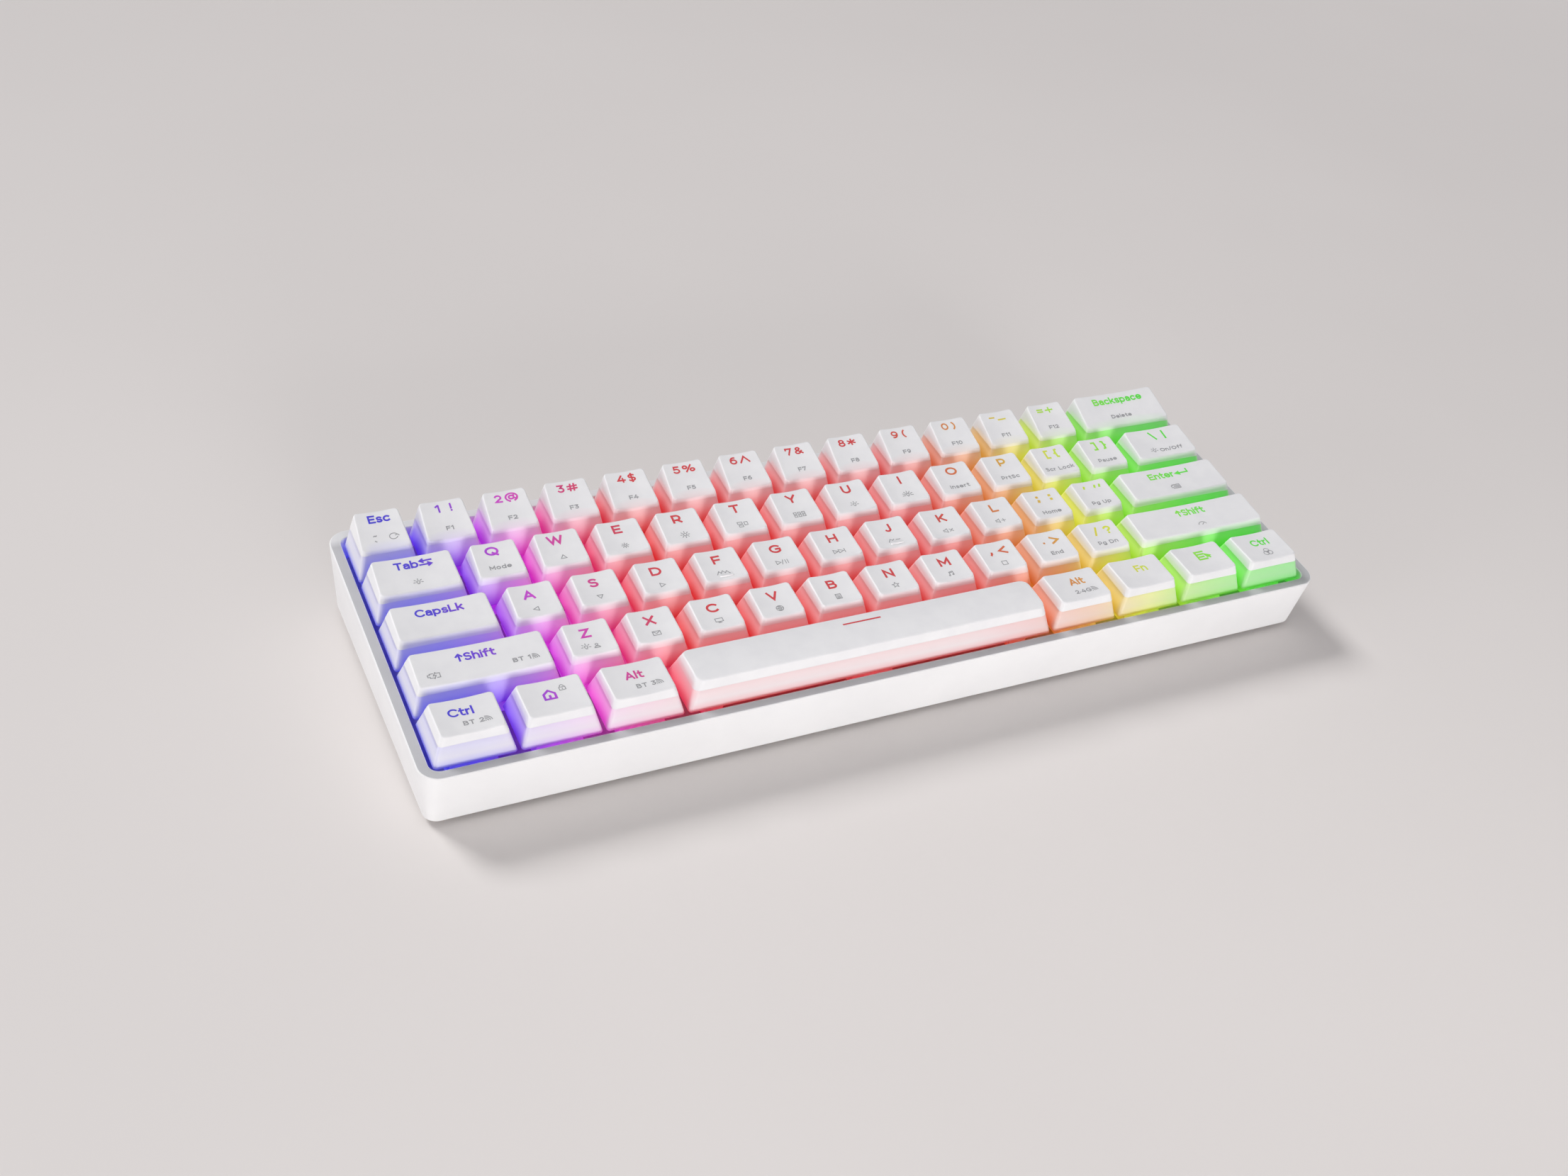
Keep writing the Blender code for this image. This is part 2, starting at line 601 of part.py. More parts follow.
def build_mode_switch(tray):
    """The sliding power switch's knob in its slot. It rests at the on end of its travel."""
    z = BOARD_TOP - BOARD_THICK - AIR_GAP - KNOB_SLOT[1] / 2
    wall = rear_wall_y(z)
    knob = rounded_bar((KNOB_SIZE[0], KNOB_SIZE[1], KNOB_SIZE[2]), 0.4 * MM, segments=1)
    add_part("power_switch_knob", mesh_from(knob, "power_switch_knob"), "knob_white", deck,
             (SWITCH_X - SWITCH_TRAVEL / 2, wall - KNOB_SIZE[1] / 2 - AIR_GAP, z))
    slot = mesh_from(rounded_bar((KNOB_SLOT[0], 8 * MM, KNOB_SLOT[1]), 0.6 * MM, segments=1), "knob_slot")
    combine(tray, add_cutter("knob_slot", slot, deck, (SWITCH_X, wall, z)), "DIFFERENCE")


def build_battery():
    """The flat cell, lying on the tray's sloping floor."""
    x, y = BATTERY_PLACE
    level = bottom_level(y) + FLOOR_THICK + AIR_GAP + BATTERY_SIZE[2] / 2
    bm = rounded_bar(BATTERY_SIZE, 1.4 * MM, segments=2)
    cell = add_part("battery_pack", mesh_from(bm, "battery_pack"), "battery_wrap", deck, (x, y, level))
    cell.rotation_euler.x = -deck_tilt()


def build_pads(tray):
    """Four rubber pads in shallow pockets of the underside, square to the table."""
    for name, (x, y) in PAD_PLACES.items():
        for maker, grow, low, high in ((add_part, 0.0, -PAD_PROUD, PAD_SUNK - AIR_GAP),
                                       (add_cutter, AIR_GAP, -MM, PAD_SUNK)):
            bm = bmesh.new()
            size = (PAD_SIZE[0] + 2 * grow, PAD_SIZE[1] + 2 * grow, high - low)
            verts = add_box(bm, size, (0, 0, (low + high) / 2))
            round_upright_edges(bm, verts, PAD_SIZE[1] / 2 - MM + grow, 3)
            place = (x * MM, y * MM, PAD_PROUD)
            if maker is add_part:
                add_part("pad_" + name, mesh_from(bm, "pad_" + name), "pad_rubber", None, place)
            else:
                combine(tray, add_cutter("pocket_" + name, mesh_from(bm, "pocket_" + name), None, place),
                        "DIFFERENCE")


# ---------------------------------------------------------------- assembly


def place_deck():
    """Tilts the deck so that the underside is level at the pads' height, and centres the case."""
    front, rear = -GRID_DEPTH / 2 - MARGIN_Y, GRID_DEPTH / 2 + MARGIN_Y
    tilt = deck_tilt()
    turn = Matrix.Rotation(tilt, 4, "X")
    front_lip = turn @ Vector((0, front, RIM_LEVEL))
    rear_heel = turn @ Vector((0, rear - REAR_TAPER, REAR_BOTTOM + RIM_ROUND))
    rear_lip = turn @ Vector((0, rear, RIM_LEVEL))
    shift_y = -(front_lip.y + max(rear_heel.y, rear_lip.y)) / 2
    shift_z = PAD_PROUD - rear_heel.z + RIM_ROUND * math.cos(tilt)
    empty = bpy.data.objects.new("deck", None)
    parts.objects.link(empty)
    empty.matrix_world = Matrix.Translation((0, shift_y, shift_z)) @ turn
    return empty


clear_scene()
parts = new_collection("mechanical_keyboard")
cutters = new_collection("cutters")
materials = {name: new_material(name) for name in COLOURS}
deck = place_deck()
bpy.context.view_layer.update()

build_keys()
build_plate()
build_board()
build_switch_bank()
case_tray = build_tray()
build_port(case_tray)
build_mode_switch(case_tray)
build_battery()
build_pads(case_tray)
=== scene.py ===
"""Looks of the compact mechanical keyboard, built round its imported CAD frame.

Pieces are laid out in the deck frame, as the CAD was: X runs right, Y runs back, Z is square to the switch
plate, and the origin is on the plate's top face in the middle of the key grid. deck_matrix() takes it from
the frame. Each mesh is then moved to the row frame, so Object coordinates are places on the object.
"""

import json
import math
from collections import namedtuple

import bmesh
import bpy
from mathutils import Matrix, Vector


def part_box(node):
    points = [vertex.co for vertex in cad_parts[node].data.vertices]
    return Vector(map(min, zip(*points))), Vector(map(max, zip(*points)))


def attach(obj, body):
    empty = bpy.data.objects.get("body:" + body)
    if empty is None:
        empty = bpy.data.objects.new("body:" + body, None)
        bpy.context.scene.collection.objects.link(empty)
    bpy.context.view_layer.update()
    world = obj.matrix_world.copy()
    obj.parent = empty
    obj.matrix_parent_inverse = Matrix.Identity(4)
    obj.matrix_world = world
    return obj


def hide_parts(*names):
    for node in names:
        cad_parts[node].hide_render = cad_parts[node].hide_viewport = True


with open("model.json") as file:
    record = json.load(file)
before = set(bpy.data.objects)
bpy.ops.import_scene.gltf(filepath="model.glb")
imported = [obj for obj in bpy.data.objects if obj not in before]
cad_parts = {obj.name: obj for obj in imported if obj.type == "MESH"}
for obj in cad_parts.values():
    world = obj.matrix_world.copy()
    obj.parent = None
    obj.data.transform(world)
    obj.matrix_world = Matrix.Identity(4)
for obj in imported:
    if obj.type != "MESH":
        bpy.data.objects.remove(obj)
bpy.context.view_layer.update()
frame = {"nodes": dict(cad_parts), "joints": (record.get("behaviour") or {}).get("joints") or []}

MM = 0.001

# Key grid, in the deck frame
PITCH = 19.05 * MM
GRID_WIDTH = 15 * PITCH
GRID_DEPTH = 5 * PITCH
KEY_GAP = 0.95 * MM
PLATE_THICK = 1.5 * MM
KEY_BASE = 5.4 * MM

# Keycap sections by row, in millimetres: the top's height over the key's base at its back and front, its
# inset there, how far a side wall leans in for each unit of height, the shell's lower edge, and the share
# that lettering is shortened to from front to back
RowShape = namedtuple("RowShape", "back_z front_z back_in front_in slope shell text")
ROW_SHAPES = {
    1: RowShape(12.6, 8.95, 1.5, 3.3, 0.210, 7.5, 0.84),
    2: RowShape(10.1, 8.4, 1.8, 3.34, 0.257, 6.1, 0.89),
    3: RowShape(9.3, 8.4, 2.2, 3.28, 0.280, 5.9, 0.90),
    4: RowShape(9.6, 8.8, 2.9, 2.87, 0.271, 6.3, 0.91),
    5: RowShape(9.05, 9.3, 2.5, 2.4, 0.287, 6.4, 0.97),
}
BASE_CORNER = 1.0 * MM
TOP_CORNER = 1.3 * MM
TOP_ROUND = 0.45 * MM
TOP_BORDER = 0.3 * MM
TOP_RINGS = 8
DISH_DEPTH = 0.5 * MM
CROWN_HEIGHT = 0.45 * MM
CAP_WALL = 1.3 * MM
CAP_ROOF = 1.8 * MM
CAP_FOOT_ROUND = 0.25 * MM
CEILING_CORNER = 0.3 * MM
CROWNED_UNITS = 6
STEP = 0.06 * MM
CORNER_STEPS = 7
ROUND_STEPS = 8
SIDE_STEP = 2.2 * MM
END_PIECES = 8

# Keys of each row from left to right: name and width in units of the pitch
KEY_ROWS = [
    [("esc", 1)] + [(name, 1) for name in "1234567890"] + [("minus", 1), ("equals", 1), ("backspace", 2)],
    [("tab", 1.5)] + [(name, 1) for name in "qwertyuiop"]
    + [("bracket_left", 1), ("bracket_right", 1), ("backslash", 1.5)],
    [("caps_lock", 1.75)] + [(name, 1) for name in "asdfghjkl"]
    + [("semicolon", 1), ("quote", 1), ("enter", 2.25)],
    [("shift_left", 2.25)] + [(name, 1) for name in "zxcvbnm"]
    + [("comma", 1), ("period", 1), ("slash", 1), ("shift_right", 2.75)],
    [(name, 1.25) for name in ("ctrl_left", "system", "alt_left")] + [("space", 6.25)]
    + [(name, 1.25) for name in ("alt_right", "fn", "menu", "ctrl_right")],
]
# CAD nodes that hold several keycaps
SHARED_NODES = {
    "keys_1_2_3": ["1", "2", "3"],
    "keys_4_5_6": ["4", "5", "6"],
    "keys_7_8_9": ["7", "8", "9"],
    "keys_0_minus_equals": ["0", "minus", "equals"],
    "keys_brackets": ["bracket_left", "bracket_right"],
    "keys_semicolon_quote": ["semicolon", "quote"],
    "keys_comma_period_slash": ["comma", "period", "slash"],
}

# Lettering styles: capital height, stroke weight, space between glyphs, stretch, material (0 lit, 1 grey)
STYLES = {
    "letter": (3.7 * MM, 0.70 * MM, 0.26, 1.13, 0),
    "word": (3.1 * MM, 0.57 * MM, 0.24, 1.0, 0),
    "pair": (3.15 * MM, 0.54 * MM, 0.45, 1.13, 0),
    "dots": (3.0 * MM, 0.95 * MM, 0.3, 1.0, 0),
    "sign": (4.2 * MM, 0.68 * MM, 0.3, 1.0, 0),
    "note": (1.7 * MM, 0.33 * MM, 0.34, 1.12, 1),
    "icon": (2.15 * MM, 0.25 * MM, 0.3, 1.0, 1),
}
# Usual place of a style on each row, from the middle of the key's top: x in millimetres, what x gains for
# each metre along the board, and y in millimetres
PLACES = {
    "pair": {1: (-0.05, -0.0032, 3.90)},
    "letter": {2: (-0.14, 0.0062, 3.13), 3: (-0.13, 0.0083, 2.12), 4: (-0.08, 0.0067, 1.89)},
    "note": {1: (0.10, -0.0020, -3.05), 2: (-0.07, 0.0031, -3.69), 3: (-0.21, 0.0031, -3.91),
             4: (-0.04, 0.0025, -3.27)},
    "icon": {2: (0.02, 0.0031, -3.51), 3: (-0.23, 0.0030, -3.60), 4: (-0.05, 0.0025, -3.23)},
}
LEGEND_LIFT = 0.02 * MM
STROKE_LIFT = 0.0015 * MM
STROKE_STEP = 0.6 * MM
DOT_LENGTH = 0.001
ARC_STEP = 15
SAME_PLACE = 1e-6
TURNED_BACK = 1e-3
MITRE_DOT = 0.35
MITRE_LIMIT = 2.2
# Legends of each key: style and text, and x and y in millimetres where they aren't in the usual place. Text
# in braces names a sign
LEGENDS = {
    "esc": [("word", "Esc", 0.35, 3.9), ("note", "{tilde}", -2.2, -1.9), ("note", "{grave}", -2.35, -3.65),
            ("icon", "{reload}", 3.2, -2.7)],
    "backspace": [("word", "Backspace", 0.7, 3.55), ("note", "Delete", -0.9, -3.05)],
    "tab": [("word", "Tab{tabs}", 0.2, 3.35), ("icon", "{bulb_dim}", -0.1, -3.45)],
    "q": [("letter", "Q"), ("note", "Mode", 0, -3.2)],
    "o": [("letter", "O"), ("note", "Insert")],
    "p": [("letter", "P"), ("note", "PrtSc")],
    "bracket_left": [("letter", "[", -1.1, 2.95), ("letter", "{", 2.3, 2.95), ("note", "Scr Lock")],
    "bracket_right": [("letter", "]", -1.2, 2.95), ("letter", "}", 2.5, 2.95), ("note", "Pause")],
    "backslash": [("letter", "\\", -1.15, 3), ("letter", "|", 3.45, 3), ("icon", "{bulb_dim}", -4.1, -3.55),
                  ("note", "On/Off", 2.65, -3.65)],
    "caps_lock": [("word", "CapsLk", -0.4, 2.7)],
    "semicolon": [("dots", ";", -1.95, 2.3), ("dots", ":", 2.8, 2.3), ("note", "Home")],
    "quote": [("letter", "'", -2.5, 2.5), ("letter", '"', 2.55, 2.5), ("note", "Pg Up")],
    "enter": [("word", "Enter{return}", -0.2, 2.7), ("icon", "{charge}", -0.75, -3.2)],
    "shift_left": [("word", "{shift}Shift", -0.95, 2.1), ("icon", "{battery}", -13.65, -2.7),
                   ("note", "BT 1", 10.65, -2.75), ("icon", "{waves}", 14.55, -2.75)],
    "z": [("letter", "Z"), ("icon", "{bulb_dim}", -2.05, -3.25), ("icon", "{person}", 1.05, -3.3)],
    "comma": [("letter", ",", -2.25, 1.9), ("letter", "<", 1.95, 2), ("icon", "{square}")],
    "period": [("letter", ".", -2.1, 1.9), ("letter", ">", 2.05, 2), ("note", "End")],
    "slash": [("letter", "/", -1.45, 1.9), ("letter", "?", 2.9, 1.9), ("note", "Pg Dn")],
    "shift_right": [("word", "{shift}Shift", 0.1, 2.7), ("icon", "{gauge}", 1.25, -3.3)],
    "ctrl_left": [("word", "Ctrl", -1.25, 1.55), ("note", "BT 2", 1.05, -2.85),
                  ("icon", "{waves}", 4.95, -2.75)],
    "system": [("sign", "{home}", -0.95, 1), ("icon", "{lock}", 3.1, 2.65)],
    "alt_left": [("word", "Alt", -0.55, 1.65), ("note", "BT 3", 1.4, -2.85),
                 ("icon", "{waves}", 5.3, -2.75)],
    "alt_right": [("word", "Alt", 0.95, 1.8), ("note", "2.4G", 0.75, -2.85),
                  ("icon", "{waves}", 4.75, -2.75)],
    "fn": [("word", "Fn", 1, 1.7)],
    "menu": [("sign", "{menu}", 1.15, 1.5)],
    "ctrl_right": [("word", "Ctrl", 0.05, 1.9), ("icon", "{clover}", 0, -2.95)],
}
# The number row from 1 to equals, each with a function key's number below
PAIRS = ("1 !", "2@", "3#", "4$", "5%", "6^", "7&", "8*", "9(", "0)", "-_", "=+")
for number, (pair, (key, _)) in enumerate(zip(PAIRS, KEY_ROWS[0][1:]), start=1):
    LEGENDS[key] = [("pair", pair), ("note", "F%d" % number)]
# Letters with signs below them, in their usual places
for letters, signs in (
        ("WERTYUI", "{up} {sun_dim} {sun} {tiles} {grid} {bulb_dim} {bulb}"),
        ("ASDFG", "{left} {down} {right} {mountains} {play_pause}"),
        ("HJKL", "{next} {hill} {speaker}{cross} {speaker}{plus}"),
        ("XCVBNM", "{mail} {monitor} {globe} {calculator} {star} {notes}")):
    for letter, sign in zip(letters, signs.split()):
        LEGENDS[letter.lower()] = [("letter", letter), ("icon", sign)]
# The space bar's mark: length, width, and its middle from the bar's middle
SPACE_LINE = (11.7 * MM, 0.6 * MM, -1.1 * MM, 3.2 * MM)
HOMING_BAR = (4.4 * MM, 0.6 * MM, 0.4 * MM)
HOMING_PLACE = (0.3 * MM, -4.75 * MM)
HOMING_KEYS = ("f", "j")

# Case, in the deck frame
MARGIN_X = 3.8 * MM
MARGIN_Y = 4.3 * MM
OPENING_X = 0.6 * MM
OPENING_Y = 1.2 * MM
RIM_LEVEL = 6.9 * MM
CASE_CORNER = 6.0 * MM
FOOT_CORNER = 4.0 * MM
OPENING_CORNER = 3.0 * MM
FRONT_BOTTOM = -12.5 * MM
REAR_BOTTOM = -18.95 * MM
SIDE_TAPER = 1.5 * MM
FRONT_TAPER = 2.5 * MM
REAR_TAPER = 1.1 * MM
CAVITY_TAPER = 1.3 * MM
FLOOR_THICK = 2.4 * MM
FOOT_ROUND = 0.9 * MM
LIP_ROUND = 0.35 * MM
LIP_FALL = 0.05 * MM
# Pieces along the tray's long and short sides, steps in a corner, and the sharpest angle left smooth
CASE_COUNTS = (24, 8)
CASE_CORNER_STEPS = 10
CASE_SMOOTH = 30

# Backlight along the board: share of the grid's width from the left, and colour as displayed
BACKLIGHT = [
    (0.00, (0.10, 0.13, 0.88)), (0.05, (0.26, 0.12, 0.90)), (0.09, (0.52, 0.13, 0.90)),
    (0.12, (0.70, 0.15, 0.90)), (0.155, (0.88, 0.16, 0.86)), (0.19, (0.90, 0.16, 0.70)),
    (0.22, (0.90, 0.15, 0.53)), (0.255, (0.90, 0.14, 0.32)), (0.29, (0.90, 0.13, 0.16)),
    (0.60, (0.88, 0.15, 0.12)), (0.64, (0.88, 0.30, 0.12)), (0.675, (0.88, 0.45, 0.11)),
    (0.72, (0.88, 0.59, 0.10)), (0.757, (0.88, 0.77, 0.10)), (0.79, (0.86, 0.88, 0.10)),
    (0.83, (0.66, 0.88, 0.10)), (0.87, (0.54, 0.88, 0.12)), (0.93, (0.36, 0.88, 0.14)),
    (1.00, (0.24, 0.86, 0.14)),
]
# Skirt profiles on outer and inner walls: share of SKIRT_REACH over the key's base, and level as displayed.
# Both are painted backlight: the tint mixes its colour into the base colour, the glow is painted emission
SKIRT_REACH = 7.5 * MM
OUTER_PAINTED_TINT = [(0.0, 0.92), (0.06, 0.78), (0.16, 0.48), (0.43, 0.21), (1.0, 0.06)]
INNER_PAINTED_TINT = [(0.0, 0.92), (0.3, 0.80), (1.0, 0.46)]
OUTER_GLOW = [(0.0, 0.60), (0.05, 0.48), (0.16, 0.26), (0.5, 0.11), (1.0, 0.04)]
INNER_GLOW = [(0.0, 0.50), (0.3, 0.50), (0.7, 0.47), (1.0, 0.40)]
# Painted backlight glow of the tray's inner wall, and of the plate
WALL_PROFILE = [(0.0, 0.80), (0.7, 0.60), (1.0, 0.30)]
WALL_GLOW = 0.6
PLATE_GLOW = 0.12
# Painted backlight seep low on a shell's inner walls: greatest tint in the base colour, its glow, and how
# high it reaches
SEEP = 0.22
SEEP_GLOW = 0.6
SEEP_HEIGHT = 1.9 * MM

# Pads, and the gap round each in its pocket
PADS = ("pad_front_left", "pad_front_right", "pad_rear_left", "pad_rear_right")
PAD_CORNER = 3.5 * MM
PAD_GAP = 0.3 * MM
PAD_SOFT = 0.5 * MM
PAD_COUNTS = (12, 2)
# A pad's lower edge: inset and rise, as shares of PAD_SOFT
PAD_EDGE = ((1.6, 0.0), (0.6, 0.12), (0.15, 0.5), (0.0, 1.0))
# Rear interfaces: sizes along X, Y and Z, and each slot's width, height and corner radius
PORT_SIZE = (8.94 * MM, 7.3 * MM, 3.2 * MM)
PORT_WALL = 0.4 * MM
PORT_EDGE = 0.1 * MM
PORT_SLOT = (10.4 * MM, 4.4 * MM, 2.0 * MM)
# The port's tongue: width, thickness, and how much shorter it is than the port
TONGUE_SIZE = (6.6 * MM, 0.7 * MM, 1.6 * MM)
TONGUE_SOFT = 0.12 * MM
# Contacts on each side of it: width and thickness, share of its length, and middle from its own middle
CONTACT_COUNT = 12
CONTACT_PITCH = 0.5 * MM
CONTACT_SIZE = (0.26 * MM, 0.06 * MM)
CONTACT_SHARE = 0.6
CONTACT_PLACE = (0.36 * MM, 0.6 * MM)
KNOB_SIZE = (3.4 * MM, 4.0 * MM, 2.4 * MM)
KNOB_SLOT = (7.4 * MM, 3.2 * MM, 0.6 * MM)
KNOB_SHIFT = 1.5 * MM
KNOB_SOFT = 0.3 * MM
# Ribs on the knob: width and depth, share of its height, and how far their middle is inside its end
RIB_COUNT = 4
RIB_PITCH = 0.7 * MM
RIB_PROUD = 0.5 * MM
RIB_SIZE = (0.34 * MM, 0.7 * MM)
RIB_SHARE = 0.78
RIB_SINK = 0.45 * MM
RIB_SOFT = 0.1 * MM
SLOT_DEPTH = 4 * MM
FACING_BACK = Matrix.Rotation(math.radians(-90), 4, "X")

# Noise that a drift follows: the part of its range that counts, for values and for colours
DRIFT_SPAN = (0.3, 0.7)
DRIFT_STOPS = (0.35, 0.65)

# Lights: each soft box's name, place, size, spread in degrees, power in watts and colour, then the sky, and
# the sun with its apparent size in degrees and the way it shines
SOFTBOXES = (
    ("front_softbox", (-0.01, -0.8, 0.15), (0.6, 0.25), 42, 0.40, (1.0, 0.99, 0.98)),
    ("left_softbox", (-1.1, -0.15, 0.22), (0.6, 0.3), 60, 0.36, (1.0, 0.99, 1.0)),
)
SKY_COLOUR = (0.98, 0.97, 1.0, 1)
SKY_STRENGTH = 0.40
SUN_POWER = 1.75
SUN_ANGLE = 18
SUN_WAY = (0.5, -0.8, -0.9)
FLOOR_HALF = 3.0

# Camera, in the deck frame
CAMERA_PLACE = Vector((-226.2, -352.4, 348.2)) * MM
CAMERA_VIEW = Vector((0.4057, 0.6283, -0.6638))
CAMERA_RIGHT = Vector((0.8943, -0.4228, 0.1464))
CAMERA_LENS = 40.14
CAMERA_SENSOR = 36.0
CAMERA_SHIFT = (-0.0329, 0.0277)


# ---- helpers


def deck_matrix():
    """The deck frame in the row frame: square to the keys' travel, on the middle of the plate's top."""
    press = next(joint for joint in frame["joints"] if joint["name"] == "press_space")["axis"]
    turn = Matrix.Rotation(math.atan2(press[1], -press[2]), 4, "X")
    low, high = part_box("switch_plate")
    top = (low + high) / 2 + turn @ Vector((0, 0, PLATE_THICK / 2))
    return Matrix.Translation(top) @ turn


DECK = deck_matrix()


def linear(colour):
    """A displayed colour as the shaders' linear values."""
    return tuple(c / 12.92 if c <= 0.04045 else ((c + 0.055) / 1.055) ** 2.4 for c in colour)


def add_piece(name, bm, materials, place=DECK, smooth_angle=40):
    """Makes a piece from a bmesh, with its mesh in the row frame."""
    bmesh.ops.transform(bm, matrix=place, verts=bm.verts)
    mesh = bpy.data.meshes.new(name)
    bm.to_mesh(mesh)
    bm.free()
    mesh.shade_smooth()
    mesh.set_sharp_from_angle(angle=math.radians(smooth_angle))
    for material in materials:
        mesh.materials.append(material)
    piece = bpy.data.objects.new(name, mesh)
    bpy.context.scene.collection.objects.link(piece)
    return piece


def bridge_loops(bm, low, high, material=0):
    """Quads between two closed rings with the same number of vertices."""
    for i in range(len(low)):
        j = (i + 1) % len(low)
        bm.faces.new([low[i], low[j], high[j], high[i]]).material_index = material


def corner_arc(cx, cy, radius, start, steps):
    turns = [math.radians(start + 90 * i / steps) for i in range(steps + 1)]
    return [(cx + radius * math.cos(turn), cy + radius * math.sin(turn)) for turn in turns]


def rounded_ring(box, radius, counts, steps=CORNER_STEPS):
    """A rounded rectangle (x0, x1, y0, y1), anticlockwise, with counts pieces along each X and Y side."""
    x0, x1, y0, y1 = box
    radius = min(radius, (x1 - x0) / 2, (y1 - y0) / 2)
    left, right, front, back = x0 + radius, x1 - radius, y0 + radius, y1 - radius
    corners = [(right, front, 270), (right, back, 0), (left, back, 90), (left, front, 180)]
    arcs = [corner_arc(cx, cy, radius, start, steps) for cx, cy, start in corners]
    ring = []
    for index, points in enumerate(arcs):
        (ax, ay), (bx, by) = points[-1], arcs[(index + 1) % 4][0]
        pieces = counts[1 - index % 2]
        ring += points
        ring += [(ax + (bx - ax) * i / pieces, ay + (by - ay) * i / pieces) for i in range(1, pieces)]
    return ring


def new_ring(bm, points):
    return [bm.verts.new(point) for point in points]


def skin(rings):
    """A closed mesh through rings of points, flat across the first and the last."""
    bm = bmesh.new()
    made = [new_ring(bm, points) for points in rings]
    for low, high in zip(made, made[1:]):
        bridge_loops(bm, low, high)
    bm.faces.new(list(reversed(made[0])))
    bm.faces.new(made[-1])
    bmesh.ops.recalc_face_normals(bm, faces=bm.faces)
    return bm


def ring_at(box, radius, counts, level, steps=CORNER_STEPS):
    """A rounded rectangle's points, all at this level."""
    return [(x, y, level) for x, y in rounded_ring(box, radius, counts, steps)]


def block(size, soft, segments=3, profile=0.5, place=(0, 0, 0)):
    """A box with softened edges, with its middle at place."""
    bm = bmesh.new()
    bmesh.ops.create_cube(bm, size=1, matrix=Matrix.Translation(place) @ Matrix.Diagonal((*size, 1)))
    bmesh.ops.bevel(bm, geom=list(bm.edges), offset=soft, segments=segments, profile=profile,
                    affect="EDGES")
    return bm


# ---- materials


